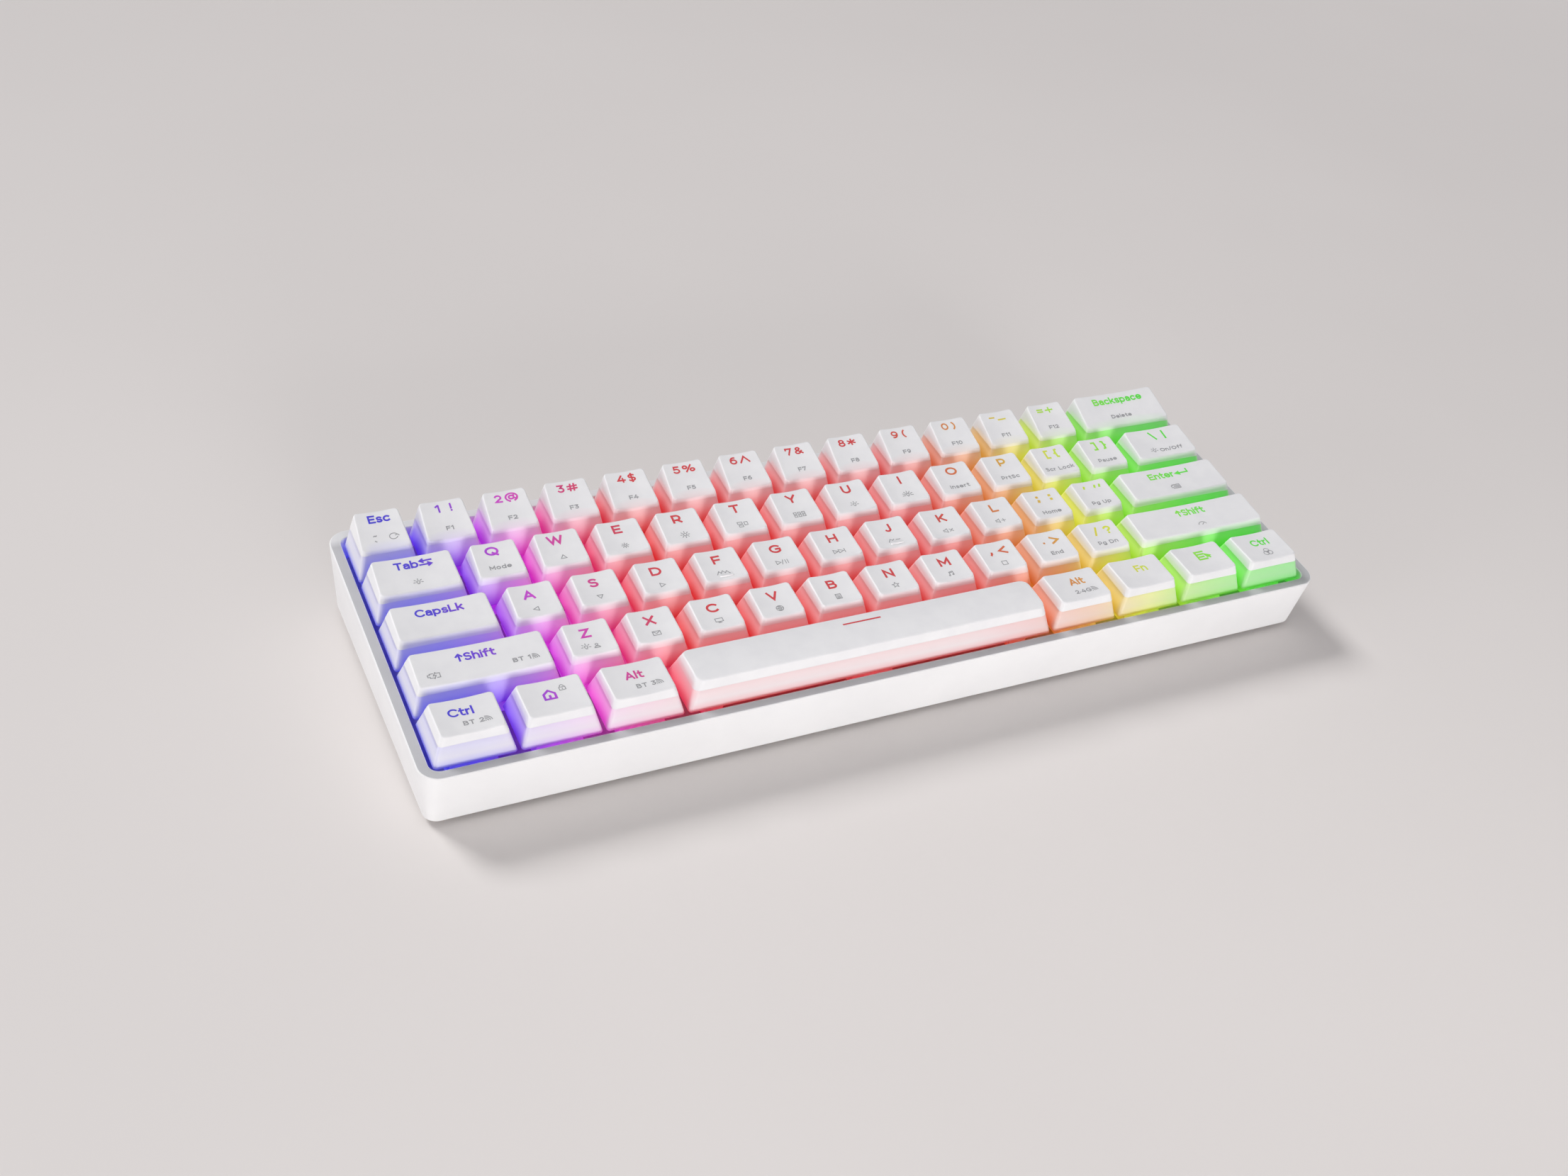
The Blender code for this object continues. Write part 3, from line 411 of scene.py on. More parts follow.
class Shader:
    """A Principled material with short ways to add nodes to it."""

    def __init__(self, name, roughness, metallic=0.0):
        self.material = bpy.data.materials.new(name)
        self.material.use_nodes = True
        self.nodes = self.material.node_tree.nodes
        self.links = self.material.node_tree.links
        self.principled = self.nodes["Principled BSDF"]
        self.principled.inputs["Roughness"].default_value = roughness
        self.principled.inputs["Metallic"].default_value = metallic
        self.place = self.nodes.new("ShaderNodeTexCoord").outputs["Object"]

    def add(self, kind, inputs=(), **settings):
        """A new node, with settings as its properties and inputs as {input: value or socket}."""
        node = self.nodes.new(kind)
        for key, value in settings.items():
            setattr(node, key, value)
        for key, value in dict(inputs).items():
            self.put(node.inputs[key], value)
        return node

    def put(self, socket, value):
        if isinstance(value, bpy.types.NodeSocket):
            self.links.new(value, socket)
        else:
            socket.default_value = value

    def set(self, name, value):
        self.put(self.principled.inputs[name], value)

    def math(self, operation, a, b=0.0):
        return self.add("ShaderNodeMath", {0: a, 1: b}, operation=operation).outputs[0]

    def times(self, a, b):
        return self.math("MULTIPLY", a, b)

    def noise(self, scale, detail=2.0):
        """A noise value over the object's own coordinates; scale is in features a metre."""
        inputs = {"Vector": self.place, "Scale": scale, "Detail": detail, "Roughness": 0.55}
        return self.add("ShaderNodeTexNoise", inputs).outputs["Fac"]

    def ramp(self, value, stops):
        """A colour ramp over value, with stops of (position, displayed colour)."""
        node = self.add("ShaderNodeValToRGB", {"Fac": value})
        elements = node.color_ramp.elements
        elements.remove(elements[1])
        elements[0].position = stops[0][0]
        elements[0].color = (*linear(stops[0][1]), 1)
        for position, colour in stops[1:]:
            elements.new(position).color = (*linear(colour), 1)
        return node.outputs["Color"]

    def profile(self, value, stops):
        """A grey ramp over value, with stops of (position, displayed level)."""
        return self.ramp(value, [(position, (level, level, level)) for position, level in stops])

    def span(self, value, low, high, to_low=0.0, to_high=1.0):
        inputs = {"Value": value, "From Min": low, "From Max": high, "To Min": to_low, "To Max": to_high}
        return self.add("ShaderNodeMapRange", inputs, clamp=True).outputs["Result"]

    def along(self, axis):
        """This place's coordinate along an axis of the deck frame."""
        way = DECK.to_3x3() @ Vector(axis)
        reach = self.add("ShaderNodeVectorMath", {0: self.place, 1: way}, operation="DOT_PRODUCT")
        return self.math("SUBTRACT", reach.outputs["Value"], DECK.translation.dot(way))

    def height(self):
        """Height over the plate's top, square to it."""
        return self.along((0, 0, 1))

    def within(self, near, far):
        """0 on the outer faces of the block of keys, rising to 1 between the keys inside it."""
        side = self.math("SUBTRACT", GRID_WIDTH / 2, self.math("ABSOLUTE", self.along((1, 0, 0))))
        end = self.math("SUBTRACT", GRID_DEPTH / 2, self.math("ABSOLUTE", self.along((0, 1, 0))))
        return self.span(self.math("MINIMUM", side, end), near, far)

    def mix(self, share, low, high):
        """A colour between low and high, each a displayed colour or a socket."""
        low, high = (c if isinstance(c, bpy.types.NodeSocket) else (*linear(c), 1) for c in (low, high))
        return self.add("ShaderNodeMix", {0: share, 6: low, 7: high}, data_type="RGBA").outputs[2]

    def across(self, left, right, at_left=0.0, at_right=1.0):
        """A value that goes from at_left to at_right between two places along the board."""
        return self.span(self.along((1, 0, 0)), left, right, at_left, at_right)

    def backlight(self):
        """The backlight's colour at this place along the board."""
        return self.ramp(self.across(-GRID_WIDTH / 2, GRID_WIDTH / 2), BACKLIGHT)

    def drift(self, scale, low, high):
        """A value that drifts between low and high over the surface."""
        return self.span(self.noise(scale), *DRIFT_SPAN, low, high)

    def tones(self, low, high, scale, detail=3.0):
        """A colour that drifts between two close ones."""
        first, last = DRIFT_STOPS
        return self.ramp(self.noise(scale, detail), [(first, low), (last, high)])

    def bump(self, value, depth, strength):
        """Relief from value, depth millimetres deep."""
        inputs = {"Height": value, "Distance": depth * MM, "Strength": strength}
        self.set("Normal", self.add("ShaderNodeBump", inputs).outputs["Normal"])

    def surface(self, colour=None, rough=None, grain=None, specular=None):
        """The usual surface: colour as for tones(), rough = (scale, low, high) drift in roughness,
        grain = (scale, detail, depth, strength) relief, and the specular level."""
        if colour:
            self.set("Base Color", self.tones(*colour))
        if rough:
            self.set("Roughness", self.drift(*rough))
        if grain:
            scale, detail, depth, strength = grain
            self.bump(self.noise(scale, detail), depth, strength)
        if specular is not None:
            self.set("Specular IOR Level", specular)
        return self.material

    def shine(self, colour, strength):
        """Painted light: emission that stands in for the backlight passing through or falling on the
        plastic.
        """
        self.set("Emission Color", colour)
        self.set("Emission Strength", strength)


def shell_material(row, foot):
    """A row's white upper shells: fine moulded texture, with painted backlight tint and glow low on inner
    walls.
    """
    shader = Shader("keycap_shell_row_%d" % row, 0.42)
    white = shader.tones((0.900, 0.898, 0.905), (0.915, 0.913, 0.918), 160, 2.0)
    low = shader.span(shader.height(), KEY_BASE + foot, KEY_BASE + foot + SEEP_HEIGHT, SEEP, 0.0)
    seep = shader.times(low, shader.within(3.2 * MM, 5.0 * MM))
    light = shader.backlight()
    shader.set("Base Color", shader.mix(seep, white, light))
    shader.shine(light, shader.times(seep, SEEP_GLOW))
    return shader.surface(rough=(900, 0.36, 0.46), grain=(5200, 2.0, 0.02, 0.35), specular=0.4)


def skirt_material():
    """The milky lower part of the keycaps, with painted backlight tint and glow: strongest at its foot,
    fading upwards.
    """
    shader = Shader("keycap_skirt", 0.38)
    light = shader.backlight()
    rise = shader.span(shader.height(), KEY_BASE, KEY_BASE + SKIRT_REACH)
    # Painted light: walls between the keys get more backlight tint and glow than the outer faces of the
    # block
    within = shader.within(1.2 * MM, 3.6 * MM)
    tint = shader.mix(within, shader.profile(rise, OUTER_PAINTED_TINT), shader.profile(rise, INNER_PAINTED_TINT))
    # Painted light: the backlight tint grows stronger from 2 to 9 cm right of the middle
    pale = shader.times(shader.math("SUBTRACT", 1.0, tint), shader.across(0.02, 0.09, 1.0, 0.5))
    shader.set("Base Color", shader.mix(pale, light, (0.90, 0.895, 0.90)))
    glow = shader.mix(within, shader.profile(rise, OUTER_GLOW), shader.profile(rise, INNER_GLOW))
    shader.shine(light, shader.times(glow, shader.drift(120, 0.94, 1.06)))
    return shader.surface(rough=(700, 0.30, 0.42), grain=(5200, 2.0, 0.02, 0.25))


def lit_legend_material():
    """Legends that let the backlight through, painted on as tint and a glow that grows towards the right.
    """
    shader = Shader("legend_lit", 0.45)
    light = shader.backlight()
    shader.set("Base Color", shader.mix(0.72, (0.50, 0.50, 0.53), light))
    shader.shine(light, shader.times(shader.drift(260, 0.9, 1.1), shader.across(0.03, 0.10, 0.04, 0.22)))
    return shader.surface(specular=0.25)


def rim_shade_material():
    """The tray's flat rim: case plastic with painted shade, greyer beside and in front of the keys than
    behind them.
    """
    shader = Shader("case_rim_painted_shade", 0.5)
    depth = shader.add("ShaderNodeSeparateXYZ", {"Vector": shader.place}).outputs["Y"]
    behind = shader.span(depth, GRID_DEPTH / 2 - 3 * MM, GRID_DEPTH / 2)
    grey = shader.tones((0.73, 0.73, 0.74), (0.75, 0.75, 0.76), 60, 2.0)
    shader.set("Base Color", shader.mix(behind, grey, (0.88, 0.88, 0.885)))
    return shader.surface(rough=(420, 0.45, 0.55), grain=(3600, 4.0, 0.035, 0.4))


def lit_wall_material():
    """The tray's inner wall, white plastic with painted backlight glow from below."""
    shader = Shader("case_inner_wall", 0.45)
    rise = shader.span(shader.height(), 0.0, RIM_LEVEL - LIP_FALL)
    shader.shine(shader.backlight(), shader.times(shader.profile(rise, WALL_PROFILE), WALL_GLOW))
    return shader.surface(((0.88, 0.88, 0.89), (0.90, 0.90, 0.91), 60), grain=(3600, 4.0, 0.03, 0.4))


def plate_material():
    """Pale powder coat on the switch plate, with painted glow from the lights in the switches."""
    shader = Shader("switch_plate_coat", 0.5)
    shader.shine(shader.backlight(), shader.drift(90, 0.8 * PLATE_GLOW, PLATE_GLOW))
    return shader.surface(((0.62, 0.62, 0.65), (0.68, 0.68, 0.70), 500), grain=(2600, 3.0, 0.05, 0.5))


def switch_material():
    """Clear, slightly smoky switch housings, with the switch lights painted on as glow."""
    shader = Shader("switch_housing", 0.22)
    shader.shine(shader.backlight(), shader.drift(300, 0.25, 0.5))
    return shader.surface(((0.80, 0.81, 0.84), (0.86, 0.87, 0.89), 700), grain=(1500, 2.0, 0.02, 0.3))


def board_material():
    """White solder mask with faint tracks under it."""
    shader = Shader("circuit_board_mask", 0.35)
    inputs = {"Vector": shader.place, "Scale": 420.0, "Mortar Size": 0.06}
    for name, colour in (("Color1", (0.80, 0.82, 0.80)), ("Color2", (0.76, 0.79, 0.76)),
                         ("Mortar", (0.62, 0.66, 0.60))):
        inputs[name] = (*linear(colour), 1)
    tracks = shader.add("ShaderNodeTexBrick", inputs)
    shader.set("Base Color", tracks.outputs["Color"])
    shader.bump(tracks.outputs["Fac"], 0.03, 0.5)
    return shader.material


def steel_material():
    """Drawn steel with lengthwise brushing."""
    shader = Shader("port_steel", 0.3, 1.0)
    inputs = {0: shader.place, 1: (6000.0, 300.0, 6000.0)}
    stretched = shader.add("ShaderNodeVectorMath", inputs, operation="MULTIPLY").outputs["Vector"]
    inputs = {"Vector": stretched, "Scale": 1.0, "Detail": 2.0}
    grain = shader.add("ShaderNodeTexNoise", inputs).outputs["Fac"]
    shader.set("Base Color", shader.ramp(grain, [(0.3, (0.78, 0.78, 0.80)), (0.7, (0.86, 0.86, 0.87))]))
    shader.set("Roughness", shader.span(grain, *DRIFT_SPAN, 0.22, 0.38))
    return shader.material


def knob_material():
    """The power switch's knob, with fine ribs."""
    shader = Shader("switch_knob_plastic", 0.5)
    inputs = {"Vector": shader.place, "Scale": 420.0}
    ribs = shader.add("ShaderNodeTexWave", inputs, bands_direction="X").outputs["Fac"]
    shader.bump(ribs, 0.12, 0.8)
    return shader.surface(((0.80, 0.80, 0.81), (0.84, 0.84, 0.85), 900))


# ---- keycaps


def key_places():
    """Every key as (name, row, units, x, y), with x and y its middle in the deck frame."""
    for row, keys in enumerate(KEY_ROWS, start=1):
        left = 0.0
        y = GRID_DEPTH / 2 - (row - 0.5) * PITCH
        for name, units in keys:
            yield name, row, units, (left + units / 2) * PITCH - GRID_WIDTH / 2, y
            left += units


def node_of(name):
    """The CAD node, and body, that holds this key."""
    return next((node for node, members in SHARED_NODES.items() if name in members), "key_" + name)


class Cap:
    """The measures of one keycap, from its own base and middle."""

    def __init__(self, row, units):
        shape = ROW_SHAPES[row]
        self.half_x, self.half_y = (units * PITCH - KEY_GAP) / 2, (PITCH - KEY_GAP) / 2
        self.front_z, self.back_z = shape.front_z * MM, shape.back_z * MM
        self.front_in, self.back_in = shape.front_in * MM, shape.back_in * MM
        self.slope, self.shell, self.text_rise = shape.slope, shape.shell * MM, shape.text
        self.top_x = self.half_x - self.slope * min(self.front_z, self.back_z)
        self.front, self.back = -self.half_y + self.front_in, self.half_y - self.back_in
        self.middle = (self.front + self.back) / 2
        self.crowned = units > CROWNED_UNITS
        self.corner = TOP_CORNER * (2 if self.crowned else 1)
        self.counts = (max(2, round(2 * self.half_x / SIDE_STEP)), END_PIECES)

    def level(self, y):
        """The level of the top's side edges at this Y."""
        return self.front_z + (self.back_z - self.front_z) * (y - self.front) / (self.back - self.front)

    def top(self, x, y):
        """The top's level at this place: dished across, or crowned from front to back on a space bar."""
        level = self.level(y)
        if self.crowned:
            off = (y - self.middle) / (self.back - self.middle)
            return level + CROWN_HEIGHT * (1 - off * off)
        return level - DISH_DEPTH * (1 - min(1.0, (x / self.top_x) ** 2))

    def base_ring(self, inset=0.0):
        box = (-self.half_x + inset, self.half_x - inset, -self.half_y + inset, self.half_y - inset)
        return rounded_ring(box, max(BASE_CORNER - inset, 0.3 * MM), self.counts)

    def top_ring(self, inset=0.0):
        box = (-self.top_x + inset, self.top_x - inset, self.front + inset, self.back - inset)
        ring = rounded_ring(box, max(self.corner - inset, 0.05 * MM), self.counts)
        return [(x * (self.half_x - self.slope * self.level(y)) / self.top_x, y) for x, y in ring]

    def wall_point(self, low, high, level):
        """The point at this level on the straight wall from a base corner to the top's edge."""
        share = level / self.top(*high)
        return low[0] + (high[0] - low[0]) * share, low[1] + (high[1] - low[1]) * share, level


def fill_top(bm, ring, counts):
    """Closes a ring from rounded_ring with strips from its front side to its back side."""
    back_right = CORNER_STEPS + counts[1]
    back_left = back_right + CORNER_STEPS + counts[0]
    front_left = back_left + CORNER_STEPS + counts[1]
    front = ring[front_left + CORNER_STEPS:] + ring[:1]
    back = list(reversed(ring[back_right + CORNER_STEPS:back_left + 1]))
    for i in range(len(front) - 1):
        bm.faces.new([front[i], front[i + 1], back[i + 1], back[i]])
    bm.faces.new(ring[:back_right + CORNER_STEPS + 1])
    bm.faces.new(ring[back_left:front_left + CORNER_STEPS + 1])


def cap_bmesh(cap):
    """One keycap: inner wall and roof, translucent skirt (material 1) and white shell (material 0)."""
    base, edge, inner_base = cap.base_ring(), cap.top_ring(), cap.base_ring(CAP_WALL)

    def wall(level):
        return [cap.wall_point(low, high, level) for low, high in zip(base, edge)]

    def on_top(ring):
        return [(x, y, cap.top(x, y)) for x, y in ring]

    rings = [([(x, y, 0.0) for x, y in cap.base_ring(CAP_FOOT_ROUND)], 1), (wall(CAP_FOOT_ROUND), 1)]
    for share in (0.25, 0.5, 0.75, 1.0):
        rings.append((wall(CAP_FOOT_ROUND + (cap.shell - STEP - CAP_FOOT_ROUND) * share), 1))
    wider, deeper = 1 + STEP / cap.half_x, 1 + STEP / cap.half_y
    grown = [(x * wider, y * deeper, z) for x, y, z in wall(cap.shell)]
    shoulder = [cap.wall_point(low, high, cap.top(*high) - TOP_ROUND) for low, high in zip(base, edge)]
    for share in (0.0, 0.06, 0.5, 0.93, 1.0):
        rings.append(([Vector(a).lerp(Vector(b), share) for a, b in zip(grown, shoulder)], 0))
    corner, inside = on_top(edge), on_top(cap.top_ring(TOP_ROUND))
    for share in (0.2, 0.4, 0.6, 0.8, 1.0):
        ring = []
        for a, b, c in zip(shoulder, corner, inside):
            a, b, c = Vector(a), Vector(b), Vector(c)
            ring.append(a.lerp(b, share).lerp(b.lerp(c, share), share))
        rings.append((ring, 0))
    depth = (cap.back - cap.front) / 2
    for inset in (TOP_ROUND + TOP_BORDER, *(depth * i / TOP_RINGS for i in range(2, TOP_RINGS))):
        rings.append((on_top(cap.top_ring(inset)), 0))

    bm = bmesh.new()
    made = [(new_ring(bm, points), material) for points, material in rings]
    for (low, _), (high, material) in zip(made, made[1:]):
        bridge_loops(bm, low, high, material)
    fill_top(bm, made[-1][0], cap.counts)
    roof = min(cap.front_z, cap.back_z) - CAP_ROOF - DISH_DEPTH
    side = cap.half_x - cap.slope * roof - CAP_WALL
    inner_box = (-side, side, -cap.half_y + cap.front_in * roof / cap.front_z + CAP_WALL,
                 cap.half_y - cap.back_in * roof / cap.back_z - CAP_WALL)
    foot = new_ring(bm, [(x, y, 0.0) for x, y in inner_base])
    ceiling = new_ring(bm, ring_at(inner_box, CEILING_CORNER, cap.counts, roof))
    bridge_loops(bm, foot, made[0][0], 1)
    bridge_loops(bm, ceiling, foot, 1)
    bm.faces.new(list(reversed(ceiling))).material_index = 1
    bmesh.ops.recalc_face_normals(bm, faces=bm.faces)
    return bm


def join(bm, other):
    """Adds another bmesh's faces to bm."""
    scratch = bpy.data.meshes.new("scratch")
    other.to_mesh(scratch)
    other.free()
    bm.from_mesh(scratch)
    bpy.data.meshes.remove(scratch)


def homing_bar(cap):
    """The raised bar that a fingertip finds, low on the key's top."""
    length, width, proud = HOMING_BAR
    x, y = HOMING_PLACE[0], cap.middle + HOMING_PLACE[1]
    return block((length, width, 2 * proud), width * 0.4, place=(x, y, cap.top(x, y)))


def build_keycap(name, row, units, x, y):
    cap = Cap(row, units)
    bm = cap_bmesh(cap)
    if name in HOMING_KEYS:
        join(bm, homing_bar(cap))
    place = DECK @ Matrix.Translation((x, y, KEY_BASE))
    piece = add_piece("keycap_" + name, bm, [SHELLS[row], SKIRT], place, smooth_angle=50)
    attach(piece, node_of(name))
    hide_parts(node_of(name))
    return cap


# ---- lettering


def arc(cx, cy, rx, ry, start, end):
    """Points along an ellipse's arc from start to end, in degrees, with ARC_STEP or less between them."""
    steps = max(2, math.ceil(abs(end - start) / ARC_STEP))
    turns = [math.radians(start + (end - start) * i / steps) for i in range(steps + 1)]
    return [(cx + rx * math.cos(t), cy + ry * math.sin(t)) for t in turns]


def points_of(numbers):
    """The points of x,y (a point), x,y,r (a circle), x,y,w,h (a box) or x,y,rx,ry,start,end (an arc)."""
    if len(numbers) == 2:
        return [tuple(numbers)]
    if len(numbers) == 3:
        x, y, radius = numbers
        return arc(x, y, radius, radius, 0, 360)
    if len(numbers) == 4:
        x, y, width, height = numbers
        return [(x, y), (x + width, y), (x + width, y + height), (x, y + height), (x, y)]
    return arc(*numbers)


def strokes_of(*texts):
    """The strokes of texts as in SIGN_LINES. A lone point is a dot, and z goes back to the start."""
    strokes = []
    for text in texts:
        points = []
        for token in text.split():
            points += points[:1] if token == "z" else points_of([float(part) for part in token.split(",")])
        if len(points) == 1:
            points.append((points[0][0] + DOT_LENGTH, points[0][1]))
        strokes.append(points)
    return strokes


def moved(strokes, dx, dy):
    return [[(x + dx, y + dy) for x, y in stroke] for stroke in strokes]


def mirrored(strokes, width):
    return [[(width - x, y) for x, y in stroke] for stroke in strokes]


def rays(x, y, count, inner, outer, start=0.0, sweep=360.0):
    """Short lines round x, y, as round a sun."""
    turns = [math.radians(start + sweep * i / (count if sweep == 360 else count - 1)) for i in range(count)]
    return [[(x + reach * math.cos(turn), y + reach * math.sin(turn)) for reach in (inner, outer)]
            for turn in turns]


def round_points(x, y, reaches, start, step):
    """A point at each reach from x, y, the first at start degrees and each next one step degrees on."""
    turns = [math.radians(start + step * i) for i in range(len(reaches))]
    return [(x + reach * math.cos(turn), y + reach * math.sin(turn)) for reach, turn in zip(reaches, turns)]


# Glyphs, and the signs that legends name in braces: name, width, then the strokes with | between them, on a
# capital's height of 1. points_of() and strokes_of() explain what a stroke may hold
SIGN_LINES = """
A .84 0,0 .42,1 .84,0 | .14,.3 .7,.3
B .7 .4,.53 0,.53 0,1 .38,1 .38,.765,.24,.235,90,-90 | 0,.53 0,0 .42,0 .42,.265,.28,.265,-90,90
C .86 .5,.5,.5,.5,46,314
D .84 0,0 0,1 .34,1 .34,.5,.5,.5,90,-90 0,0
E .62 .62,1 0,1 0,0 .64,0 | 0,.51 .55,.51
F .6 .62,1 0,1 0,0 | 0,.47 .55,.47
G .9 .5,.5,.5,.5,46,320 .9,.48 .56,.48
H .76 0,0 0,1 | .76,0 .76,1 | 0,.5 .76,.5
I 0 0,0 0,1
J .46 .46,1 .46,.3 .22,.28,.24,.28,0,-145
K .7 0,0 0,1 | .68,1 0,.34 | .24,.55 .7,0
L .56 0,1 0,0 .58,0
M .92 0,0 0,1 .46,.28 .92,1 .92,0
N .76 0,0 0,1 .76,0 .76,1
O 1 .5,.5,.5
P .66 0,0 0,1 .36,1 .36,.66,.3,.34,90,-90 0,.32
Q 1 .5,.5,.5 | .56,.26 .92,-.08
R .68 0,0 0,1 .36,1 .36,.66,.3,.34,90,-90 0,.32 | .36,.32 .68,0
S .65 .33,.76,.3,.24,38,270 .33,.26,.32,.26,90,-146
T .72 0,1 .72,1 | .36,1 .36,0
U .72 0,1 0,.36 .36,.36,.36,.36,180,360 .72,1
V .82 0,1 .41,0 .82,1
W 1.24 0,1 .31,0 .62,.95 .93,0 1.24,1
X .76 0,0 .76,1 | 0,1 .76,0
Y .76 0,1 .38,.42 .76,1 | .38,.42 .38,0
Z .68 .02,1 .66,1 0,0 .7,0
0 .7 .35,.5,.35,.5,0,360
1 .26 0,.82 .2,1 .26,1 .26,0
2 .62 .31,.7,.29,.3,155,-38 0,0 .64,0
3 .6 .03,1 .56,1 .27,.61 .29,.31,.3,.31,85,-146
4 .72 .44,1 0,.27 .74,.27 | .53,.56 .53,0
5 .62 .56,1 .1,1 .06,.57 .28,.31,.32,.31,108,-146
6 .64 .32,.32,.32 | .42,.42,.42,.58,78,180
7 .62 0,.8 0,1 .62,1 .22,0
8 .64 .32,.76,.26,.24,0,360 | .32,.27,.32,.27,0,360
9 .64 .32,.68,.32 | .22,.58,.42,.58,-102,0
a .54 .27,.48,.26,.24,152,0 .53,0 | .53,.42 .22,.42 .22,.21,.21,.21,90,270 .34,.02 .53,.2
b .66 0,0 0,1.06 | .33,.36,.33,.36,0,360
c .6 .34,.36,.34,.36,48,312
d .66 .66,0 .66,1.06 | .33,.36,.33,.36,0,360
e .68 .02,.36 .68,.36 .34,.36,.34,.36,0,318
f .4 .36,.82,.2,.24,75,180 .16,0 | 0,.68 .42,.68
g .66 .66,.72 .66,.02 .34,0,.32,.28,0,-148 | .33,.36,.33,.36,0,360
h .58 0,0 0,1.06 | .29,.4,.29,.32,180,0 .58,0
i 0 0,0 0,.7 | 0,1
k .56 0,0 0,1.06 | .54,.72 0,.24 | .2,.42 .58,0
l 0 0,0 0,1.06
m 1 0,0 0,.72 | .25,.44,.25,.28,180,0 .5,0 | .75,.44,.25,.28,180,0 1,0
n .58 0,0 0,.72 | .29,.4,.29,.32,180,0 .58,0
o .66 .33,.36,.33,.36,0,360
p .66 0,-.28 0,.72 | .33,.36,.33,.36,0,360
r .32 0,0 0,.72 | .32,.4,.32,.3,180,96
s .5 .26,.54,.23,.18,32,270 .26,.18,.25,.18,90,-148
t .42 .16,.96 .16,.22 .38,.22,.22,.22,180,285 | 0,.68 .42,.68
u .58 0,.72 0,.3 .29,.29,.29,.29,180,360 | .58,.72 .58,0
! 0 0,1 0,.34 | 0,0
@ 1.2 .6,.5,.6,.62,-62,245 .34,-.1 | .58,.5,.25,.27,0,360 | .84,.78 .84,.42 1,.44,.15,.2,180,330
# .92 .22,0 .32,1 | .6,0 .7,1 | 0,.7 .92,.7 | 0,.28 .92,.28
$ .65 .33,.76,.3,.24,38,270 .33,.26,.32,.26,90,-146 | .33,-.16 .33,1.16
% 1.16 .2,.76,.22 | .96,.22,.22 | .28,0 .88,1
^ .98 0,.02 .49,1 .98,.02
& .78 .78,0 .16,.66 .33,.8,.2,.2,220,-40 .14,.42 .28,.23,.27,.23,130,300 .7,.4
( .44 .66,.45,.42,.66,122,238
- .56 0,.66 .56,.66
_ .84 0,.18 .84,.18
= .64 0,.68 .64,.68 | 0,.3 .64,.3
+ .84 0,.5 .84,.5 | .42,.1 .42,.9
[ .3 .32,1.1 0,1.1 0,-.1 .32,-.1
] .3 0,1.1 .3,1.1 .3,-.1 0,-.1
{ .3 .3,1.1 .17,1.06 .15,.62 .02,.5 .15,.38 .17,-.06 .3,-.1
\\ .46 0,1.1 .46,-.05
| 0 0,1.14 0,.66 | 0,.38 0,-.1
/ .4 0,-.05 .4,1.1
; .04 .04,.06 -.02,-.12 | .04,.98
: 0 0,.06 | 0,.98
' .08 .08,.98 0,.72
" .62 .08,.98 0,.72 | .62,.98 .54,.72
, .06 .06,.36 .04,.22 -.06,.06
. .02 0,.3
< .66 .66,.96 0,.5 .66,.04
> .66 0,.96 .66,.5 0,.04
? .58 .28,.72,.28,.28,155,-45 .28,.34 | .28,0
tilde .5 0,.5 .14,.66 .36,.5 .5,.66
grave .2 0,.62 .2,.42
reload 1.5 .62,.5,.62,.6,335,40 | .92,.62 1.24,.74 1.42,.44
tabs 1.32 1.32,.82 .1,.82 | .38,1.08 .06,.82 .38,.56 | 0,.18 1.22,.18 | .94,.44 1.26,.18 .94,-.08
return 2 2,1 2,.4 .6,.4 | .1,.4 .66,.66 .66,.14 z | .3,.4 .6,.4
shift .62 .31,-.02 .31,.98 | 0,.66 .31,1 .62,.66
up .9 0,.1 .9,.1 .45,.88 z
down .9 0,.88 .9,.88 .45,.1 z
left .8 .8,.05 .8,.95 0,.5 z
right .8 0,.05 0,.95 .8,.5 z
tiles 1.8 0,.64,.8,.46 | .12,-.06,.68,.42 | 1.14,.26,.54,.74
mountains 2.1 0,.3 .4,1.05 .7,.55 1.05,1.1 1.4,.55 1.7,.95 2.1,.3
hill 2.1 0,.3 .42,1 .78,.65 1.05,.9 | 1.4,.7 2.1,.7
play_pause 2 0,.08 0,.92 .8,.5 z | .92,0 1.22,1 | 1.58,.08 1.58,.92 | 1.96,.08 1.96,.92
next 2 0,.08 0,.92 .84,.5 z | .94,.08 .94,.92 1.78,.5 z | 1.98,.08 1.98,.92
speaker .8 0,.32 .26,.32 .7,.02 .7,.98 .26,.68 0,.68 z
cross .6 0,.2 .6,.8 | 0,.8 .6,.2
plus .7 0,.5 .7,.5 | .35,.15 .35,.85
person .9 .45,.74,.2 | .45,.06,.42,.34,180,0 .03,.06
mail 1.2 0,.08,1.2,.84 | 0,.9 .6,.42 1.2,.9
monitor 1.2 0,.26,1.2,.72 | .36,.02 .84,.02 | .6,.26 .6,.02
globe 1.2 .6,.5,.58 | .6,.5,.24,.58,0,360 | .02,.5 1.18,.5 | .6,-.08 .6,1.08
calculator .86 0,-.02,.86,1.06 | .18,.74 .68,.74 | .2,.42 .66,.42 | .2,.18 .66,.18
notes 1 .24,.16 .24,.92 .92,1.04 .92,.28 | .24,.72 .92,.84 | .13,.14,.12 | .81,.26,.12
square .9 0,.06,.9,.9
lock 1 .06,0,.88,.62 | .5,.62,.3,.46,0,180 | .5,.22 .5,.4
gauge 1.5 .75,.2,.75,.66,8,172 | .7,.18 1.06,.5
home 1 .06,0 .94,0 .94,.56 .5,.96 .06,.56 z | .5,0 .5,.34
"""
SIGNS = {" ": (0.25, [])}
